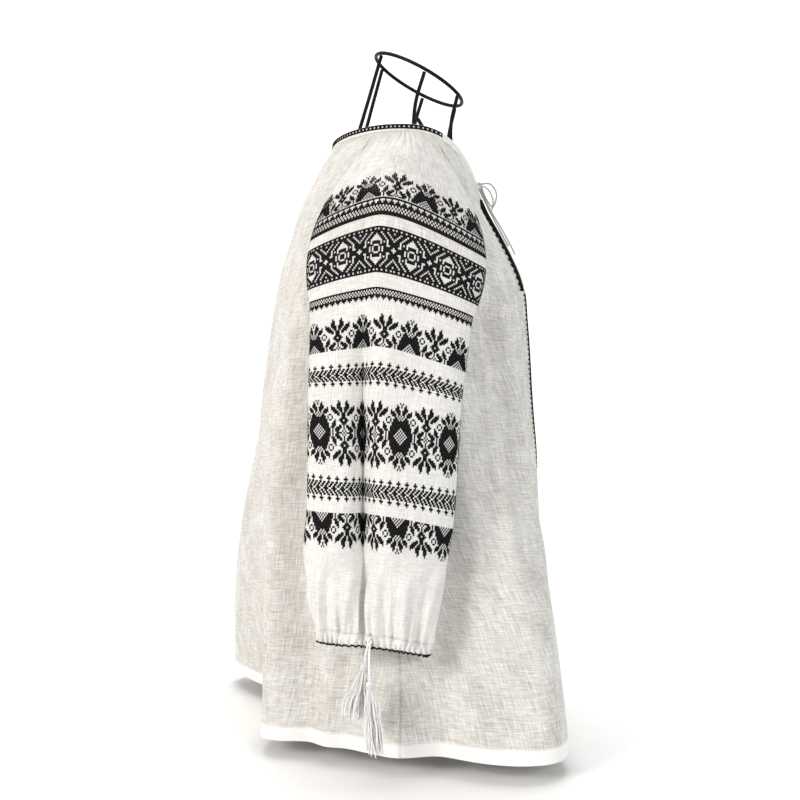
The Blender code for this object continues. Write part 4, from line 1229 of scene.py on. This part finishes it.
def make_band_stitches():
    """Zigzag of small cross-stitches on the band's outer face, round all but its front."""
    pitch = NECK_BAND_HEIGHT / (len(BAND_CHART) + 0.6)
    first, last = (math.radians(a) for a in BAND_STITCHED)
    count = int((last - first) * 0.084 / pitch)
    angle = first + (np.arange(count) + 0.5) * (last - first) / count
    half = (last - first) / count / 2
    corners = []
    wanted = [(k, row) for k in range(count) for row, marks in enumerate(BAND_CHART) if marks[k % len(marks)] == "#"]
    k, row = np.array(wanted).T
    height = NECK_BAND_RISE + NECK_BAND_HEIGHT - (row + 0.8) * pitch
    for up, turn in ((1, -1), (-1, -1), (-1, 1), (1, 1)):
        at = angle[k] + turn * half
        point = neck_point(at)
        out = np.stack([-np.sin(at), -np.cos(at), np.zeros_like(at)], axis=-1)
        point = point + out * (NECK_BAND_WALL / 2 * 1.12 - CLOTH_WALL / 2)
        point[:, 2] += height + up * pitch / 2
        corners.append(point)
    out = np.stack([-np.sin(angle[k]), -np.cos(angle[k]), np.zeros(len(k))], axis=-1)
    points, quads = stitch_arrays(np.stack(corners, axis=1), out, STITCH_RISE)
    return new_piece("band_stitches", points, facing_out(points, quads, np.repeat(out, 4, axis=0)), charcoal)


# Knots and tassels
TASSELS = (
    ("a", -0.0040, 0.0340, 0.1110, 0.0375, 0.0200, 0.0580, 0.009, 72),
    ("b", 0.0070, 0.0286, 0.0966, 0.0235, 0.0080, 0.0310, 0.003, 48),
)
TASSEL_HEAD_RADIUS = 0.0040
CUFF_KNOT_Y = 0.0287
CUFF_KNOT_Z = 0.1375
CUFF_SURFACE_WALL = 0.0014


def knot_tubes(centre, size):
    """A pulled-tight knot: a ball with a cord wound over it as a torus knot of two and three turns."""
    t = np.linspace(0.0, 2 * np.pi, 121)[:-1]
    ring = 0.56 + 0.24 * np.cos(3 * t)
    path = np.stack([ring * np.cos(2 * t), ring * np.sin(2 * t), 0.34 * np.sin(3 * t)], axis=-1)
    path = np.asarray(centre) + path[:, [0, 2, 1]] * size
    return [ball_arrays(centre, (size * 0.62,) * 3), tube_arrays(path, size * 0.22, 8, closed=True)]


def make_knot(name, centre, node_name):
    """Knot of white cord."""
    made = merge_tubes(name, knot_tubes(centre, KNOT_RADIUS * 1.12), white_cord)
    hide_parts(node_name)
    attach(made, "root")
    return made


def make_tassel(word, side, row, knot):
    """Tassel: short twisted cord, wound head and fine strands hanging from it, each curved its own way."""
    name, out, y, z, tip_y, tip_half, tip_z, uneven, count = row
    head = np.array([knot[0] + side * out, y, z])
    top = np.array([knot[0] + side * out * 0.45, knot[1] + (y - knot[1]) * 0.3, knot[2] - KNOT_RADIUS * 0.6])
    cord = smooth_path([top, (top + head) / 2 + [0, 0.0006, 0], head], 8)
    tubes = [tube_arrays(cord, twisted(cord, CORD_RADIUS * 0.9), 8)]
    tubes.append(ball_arrays(head, (TASSEL_HEAD_RADIUS * 0.85, TASSEL_HEAD_RADIUS * 0.85, TASSEL_HEAD_RADIUS * 1.1)))
    turn = np.linspace(0.0, 10 * np.pi, 150)
    rise = np.linspace(-0.75, 0.35, 150)
    wind = np.stack([np.cos(turn) * np.sqrt(1 - rise**2), np.sin(turn) * np.sqrt(1 - rise**2), rise * 1.1], -1)
    tubes.append(tube_arrays(head + wind * TASSEL_HEAD_RADIUS * 0.88, 0.0005, 6))
    random = np.random.default_rng(7 + ord(name))
    for k in range(count):
        around, reach = 2.4 * k, math.sqrt((k + 0.5) / count)
        share = math.sin(around) * reach
        root = head + np.array([math.cos(around) * 0.0030 * reach, share * 0.0030, -TASSEL_HEAD_RADIUS * 0.55])
        tip = np.array([head[0] + 0.0046 * math.cos(around) * reach, tip_y + tip_half * share,
                        tip_z + uneven * (math.sin(5.1 * k) * 0.6 + abs(share) * 0.8) + random.uniform(0, 0.004)])
        bow = random.normal(0.0, 0.0011, (2, 3)) * [1.0, 1.6, 0.6]
        way = [root, root + (tip - root) * [0.20, 0.42, 0.33] + bow[0],
               root + (tip - root) * [0.6, 0.80, 0.66] + bow[1], tip]
        tubes.append(tube_arrays(smooth_path(way, 4), random.uniform(0.00052, 0.00070), 4))
    made = merge_tubes(f"tassel_{word}_{name}", tubes, white_cord)
    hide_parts(f"cuff_tassel_{word}_{name}")
    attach(made, "root")


def make_cuff_cords(word, side):
    """Knot and two tassels of one cuff's drawstring."""
    section = sleeve_tube((SLEEVE_END + CUFF_END) / 2, np.linspace(0.0, 1.0, 400))[0]
    outer = section[section[:, 0] < section[:, 0].mean()]
    surface = outer[np.argmin(np.abs(outer[:, 1] - CUFF_KNOT_Y))][0]
    reach = -surface + CUFF_WAVE_SIZE / 2 + CUFF_SURFACE_WALL / 2 + KNOT_RADIUS
    knot = (side * reach, CUFF_KNOT_Y, CUFF_KNOT_Z)
    make_knot(f"knot_cuff_{word}", knot, f"cuff_knot_{word}")
    for row in TASSELS:
        make_tassel(word, side, row, knot)


# Wire form
WIRE_RADIUS = 0.0021
SHOULDER_GAP = 0.0020
BASE_RADIUS = 0.100
BASE_HEIGHT = 0.006
POLE_RADIUS = 0.007
FORM_RING_CENTRE = (0.0, -0.022, 0.738)
FORM_RING_RADIUS = 0.0565
FORM_RING_TILT = 28.0
BRACE_TOP_Z = 0.676
BRACE_FOOT_Z = 0.585
BRACE_BOW = (0.010, 0.004)
RIB_FOOT = 0.012
SHOULDER_RIB_SHARE = 0.47
SHOULDER_RIB_STATIONS = (0.22, 0.31, 0.40)
SHOULDER_RIB = ((0.059, -0.018, 0.700), (0.072, -0.014, 0.662), (0.163, -0.005, 0.574))
FRONT_RIB = ((0.036, -0.058, 0.680), (0.048, -0.058, 0.640), (0.056, -0.066, 0.580))
BACK_RIB = ((0.034, 0.036, 0.705), (0.044, 0.050, 0.655), (0.054, 0.068, 0.590))
FORM_HOOPS = (
    ("form_hoop_chest", 0.505, 0.126, 0.098),
    ("form_hoop_waist", 0.385, 0.110, 0.088),
    ("form_hoop_hip", 0.235, 0.138, 0.112),
)
CAD_WALL = 0.0014


def form_ring_point(degrees):
    """Point of the tilted neck ring at an angle from the front."""
    angle, tilt = np.radians(degrees), math.radians(FORM_RING_TILT)
    x, y = -FORM_RING_RADIUS * np.sin(angle), -FORM_RING_RADIUS * np.cos(angle)
    cx, cy, cz = FORM_RING_CENTRE
    return np.stack([cx + x, cy + y * math.cos(tilt), cz + y * math.sin(tilt)], axis=-1)


def hoop_point(hoop, degrees, outside=0.0):
    """Point of a form hoop at an angle from the front, or that far outside it."""
    _, height, half_width, half_depth = hoop
    angle = np.radians(degrees)
    return np.stack([-(half_width + outside) * np.sin(angle), -(half_depth + outside) * np.cos(angle),
                     np.full_like(angle, height)], axis=-1)


def dress_wire(name, path, node_name, closed=False):
    """A smooth wire in place of the part's."""
    made = make_tube(name, path, WIRE_RADIUS, black_wire, sides=12, closed=closed)
    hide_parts(node_name)
    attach(made, "root")


def below_sleeve(t, side):
    """Point of the shoulder rib inside the sleeve's head."""
    share = SHOULDER_RIB_SHARE

    def at(height, across):
        return sleeve_head(height, np.array([across]))[0, 0]

    normal = np.cross(at(t, share + 0.02) - at(t, share - 0.02), at(t + 0.02, share) - at(t - 0.02, share))
    normal = unit(normal) * np.sign(normal[0])
    return (at(t, share) + normal * (CAD_WALL / 2 + WIRE_RADIUS + SHOULDER_GAP)) * [side, 1, 1]


def make_ribs(word, side):
    """Shoulder, front and back rib and the short brace of one side; side 1 is the wearer's right."""
    outside = 2 * WIRE_RADIUS + WIRE_GAP

    def lower(degrees):
        points = [hoop_point(hoop, side * degrees, outside) for hoop in FORM_HOOPS]
        return points + [points[-1] - [0.0, 0.0, RIB_FOOT]]

    def under_ring(degrees):
        slope = math.tan(math.radians(FORM_RING_TILT)) * abs(math.sin(math.radians(degrees)))
        return form_ring_point(side * degrees) - [0, 0, WIRE_RADIUS * (math.hypot(1.0, slope) + slope) + WIRE_GAP]

    def over(path):
        return [(side * -out, y, z) for out, y, z in path]

    shoulder = [under_ring(84.0)] + over(SHOULDER_RIB[:2])
    shoulder += [below_sleeve(t, side) for t in SHOULDER_RIB_STATIONS]
    shoulder = smooth_path(shoulder + over(SHOULDER_RIB[2:]) + lower(90.0), 14)
    front = smooth_path([under_ring(30.0)] + over(FRONT_RIB) + lower(30.0), 14)
    back = smooth_path([under_ring(150.0)] + over(BACK_RIB) + lower(150.0), 14)
    top = shoulder[np.argmin(np.abs(shoulder[:, 2] - BRACE_TOP_Z))] + (0.0, -outside, 0.0)
    end = front[np.argmin(np.abs(front[:, 2] - BRACE_FOOT_Z))] + (side * -outside, 0.0, 0.0)
    brace = smooth_path([top, (top + end) / 2 + (side * -BRACE_BOW[0], 0.0, BRACE_BOW[1]), end], 14)
    for kind, path in (("shoulder", shoulder), ("front", front), ("back", back), ("brace", brace)):
        dress_wire(f"wire_{kind}_{word}", path, f"form_{kind}_{word}")


def make_form():
    """Neck ring, hoops, ribs, braces and cross-bar as smooth wires; base and pole turned smooth."""
    degrees = np.arange(96) * 3.75
    dress_wire("wire_neck_ring", form_ring_point(degrees), "form_neck_ring", closed=True)
    for hoop in FORM_HOOPS:
        dress_wire(hoop[0].replace("form", "wire"), hoop_point(hoop, degrees), hoop[0], closed=True)
    chest = FORM_HOOPS[0]
    reach = chest[2] - WIRE_RADIUS - 2 * WIRE_GAP
    dress_wire("wire_crossbar", np.stack([np.linspace(-reach, reach, 5), np.zeros(5), np.full(5, chest[1])], -1),
               "form_crossbar")
    for word, side in (("right", 1.0), ("left", -1.0)):
        make_ribs(word, side)
    pole_top = chest[1] - WIRE_RADIUS - WIRE_GAP
    pole = make_tube("stand_pole", [(0, 0, BASE_HEIGHT + WIRE_GAP), (0, 0, 0.25), (0, 0, pole_top)], POLE_RADIUS,
                     black_wire, sides=48)
    rim = [(0.0, 0.0), (BASE_RADIUS - 0.0015, 0.0), (BASE_RADIUS, 0.0015), (BASE_RADIUS, BASE_HEIGHT - 0.0015),
           (BASE_RADIUS - 0.0015, BASE_HEIGHT), (0.0, BASE_HEIGHT)]
    radii, heights = np.array(rim[1:-1]).T
    turn = np.linspace(0.0, 2 * np.pi, 96, endpoint=False)
    ring = np.stack([radii[:, None] * np.cos(turn), radii[:, None] * np.sin(turn),
                     np.repeat(heights[:, None], 96, axis=1)], axis=-1).reshape(-1, 3)
    ends = np.arange(96)
    caps = np.concatenate([np.stack([np.full(96, len(ring)), np.roll(ends, -1), ends], -1),
                           np.stack([np.full(96, len(ring) + 1), ends + 288, np.roll(ends, -1) + 288], -1)])
    base = piece_of_faces("stand_base", np.concatenate([ring, [[0, 0, 0], [0, 0, BASE_HEIGHT]]]),
                          list(map(tuple, grid_quads(4, 96, around=True, flip=True))) + list(map(tuple, caps)),
                          black_wire)
    base.data.set_sharp_from_angle(angle=math.radians(35))
    pole.data.set_sharp_from_angle(angle=math.radians(50))
    for made, node_name in ((pole, "form_pole"), (base, "form_base")):
        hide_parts(node_name)
        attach(made, "root")


def dress(made, replaced=None):
    """Lets a cotton piece ride the part's only body, in the place of a node where one is given."""
    if replaced:
        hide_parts(replaced)
    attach(made, "root")
    return made


front = dress(make_front(), "front")
back = dress(make_back(), "back")
band = dress(make_neck_band(), "neck_band")
dress(make_slit_stitches())
dress(make_band_stitches())
for word, side in (("right", -1.0), ("left", 1.0)):
    sleeve = dress(make_sleeve(word, side), f"sleeve_{word}")
    cuff, edging = make_cuff(word, side)
    dress(cuff, f"cuff_{word}")
    dress(edging)
    for piece in make_embroidery(word, side):
        dress(piece)
    make_cuff_cords(word, side)
make_knot("knot_neck", neck_knot, "neck_knot")
make_form()

# Floor and lights
SWEEP_START, SWEEP_RADIUS = 0.9, 1.2     # where the floor turns up behind the blouse, and how softly
turn = np.linspace(0.0, np.pi / 2, 33)
sweep_x = np.concatenate([[-6.0, 0.0], SWEEP_START + SWEEP_RADIUS * np.sin(turn), [SWEEP_START + SWEEP_RADIUS]])
sweep_z = np.concatenate([[0.0, 0.0], SWEEP_RADIUS * (1 - np.cos(turn)), [6.0]])
sweep_y = np.linspace(-7.0, 7.0, 2)
sweep = np.stack(np.broadcast_arrays(sweep_x[:, None], sweep_y[None, :], sweep_z[:, None]), axis=-1)
floor = new_piece("floor", sweep.reshape(-1, 3), grid_quads(len(sweep_x), 2), plain_material(
    "pale_floor", (0.96, 0.96, 0.955), 0.95))

world = bpy.data.worlds.new("studio")
bpy.context.scene.world = world
world.use_nodes = True
sky = world.node_tree.nodes["Background"]
sky.inputs["Color"].default_value = (1.0, 1.0, 1.0, 1.0)
sky.inputs["Strength"].default_value = 0.30
bpy.context.scene.view_settings.view_transform = "Standard"


def add_light(name, place, target, size, power, colour):
    """Square soft light turned towards a point."""
    data = bpy.data.lights.new(name, "AREA")
    data.size = size
    data.energy = power
    data.color = colour
    made = bpy.data.objects.new(name, data)
    made.location = place
    made.rotation_euler = (Vector(target) - Vector(place)).to_track_quat("-Z", "Y").to_euler()
    bpy.context.scene.collection.objects.link(made)


LIGHTS = (
    ("front_light", (-2.5, -1.6, 1.3), (0.0, 0.0, 0.4), 1.0, 31.0, (0.97, 0.985, 1.0)),
    ("back_light", (-2.0, 2.0, 1.3), (0.0, 0.0, 0.4), 0.9, 52.0, (1.0, 0.94, 0.88)),
    ("top_light", (-0.6, 0.2, 2.6), (0.0, 0.0, 0.3), 1.6, 2.0, (1.0, 0.98, 0.95)),
    ("wall_light", (0.9, 0.0, 3.2), (2.1, 0.0, 0.9), 2.5, 70.0, (1.0, 1.0, 1.0)),
)
for light in LIGHTS:
    add_light(*light)
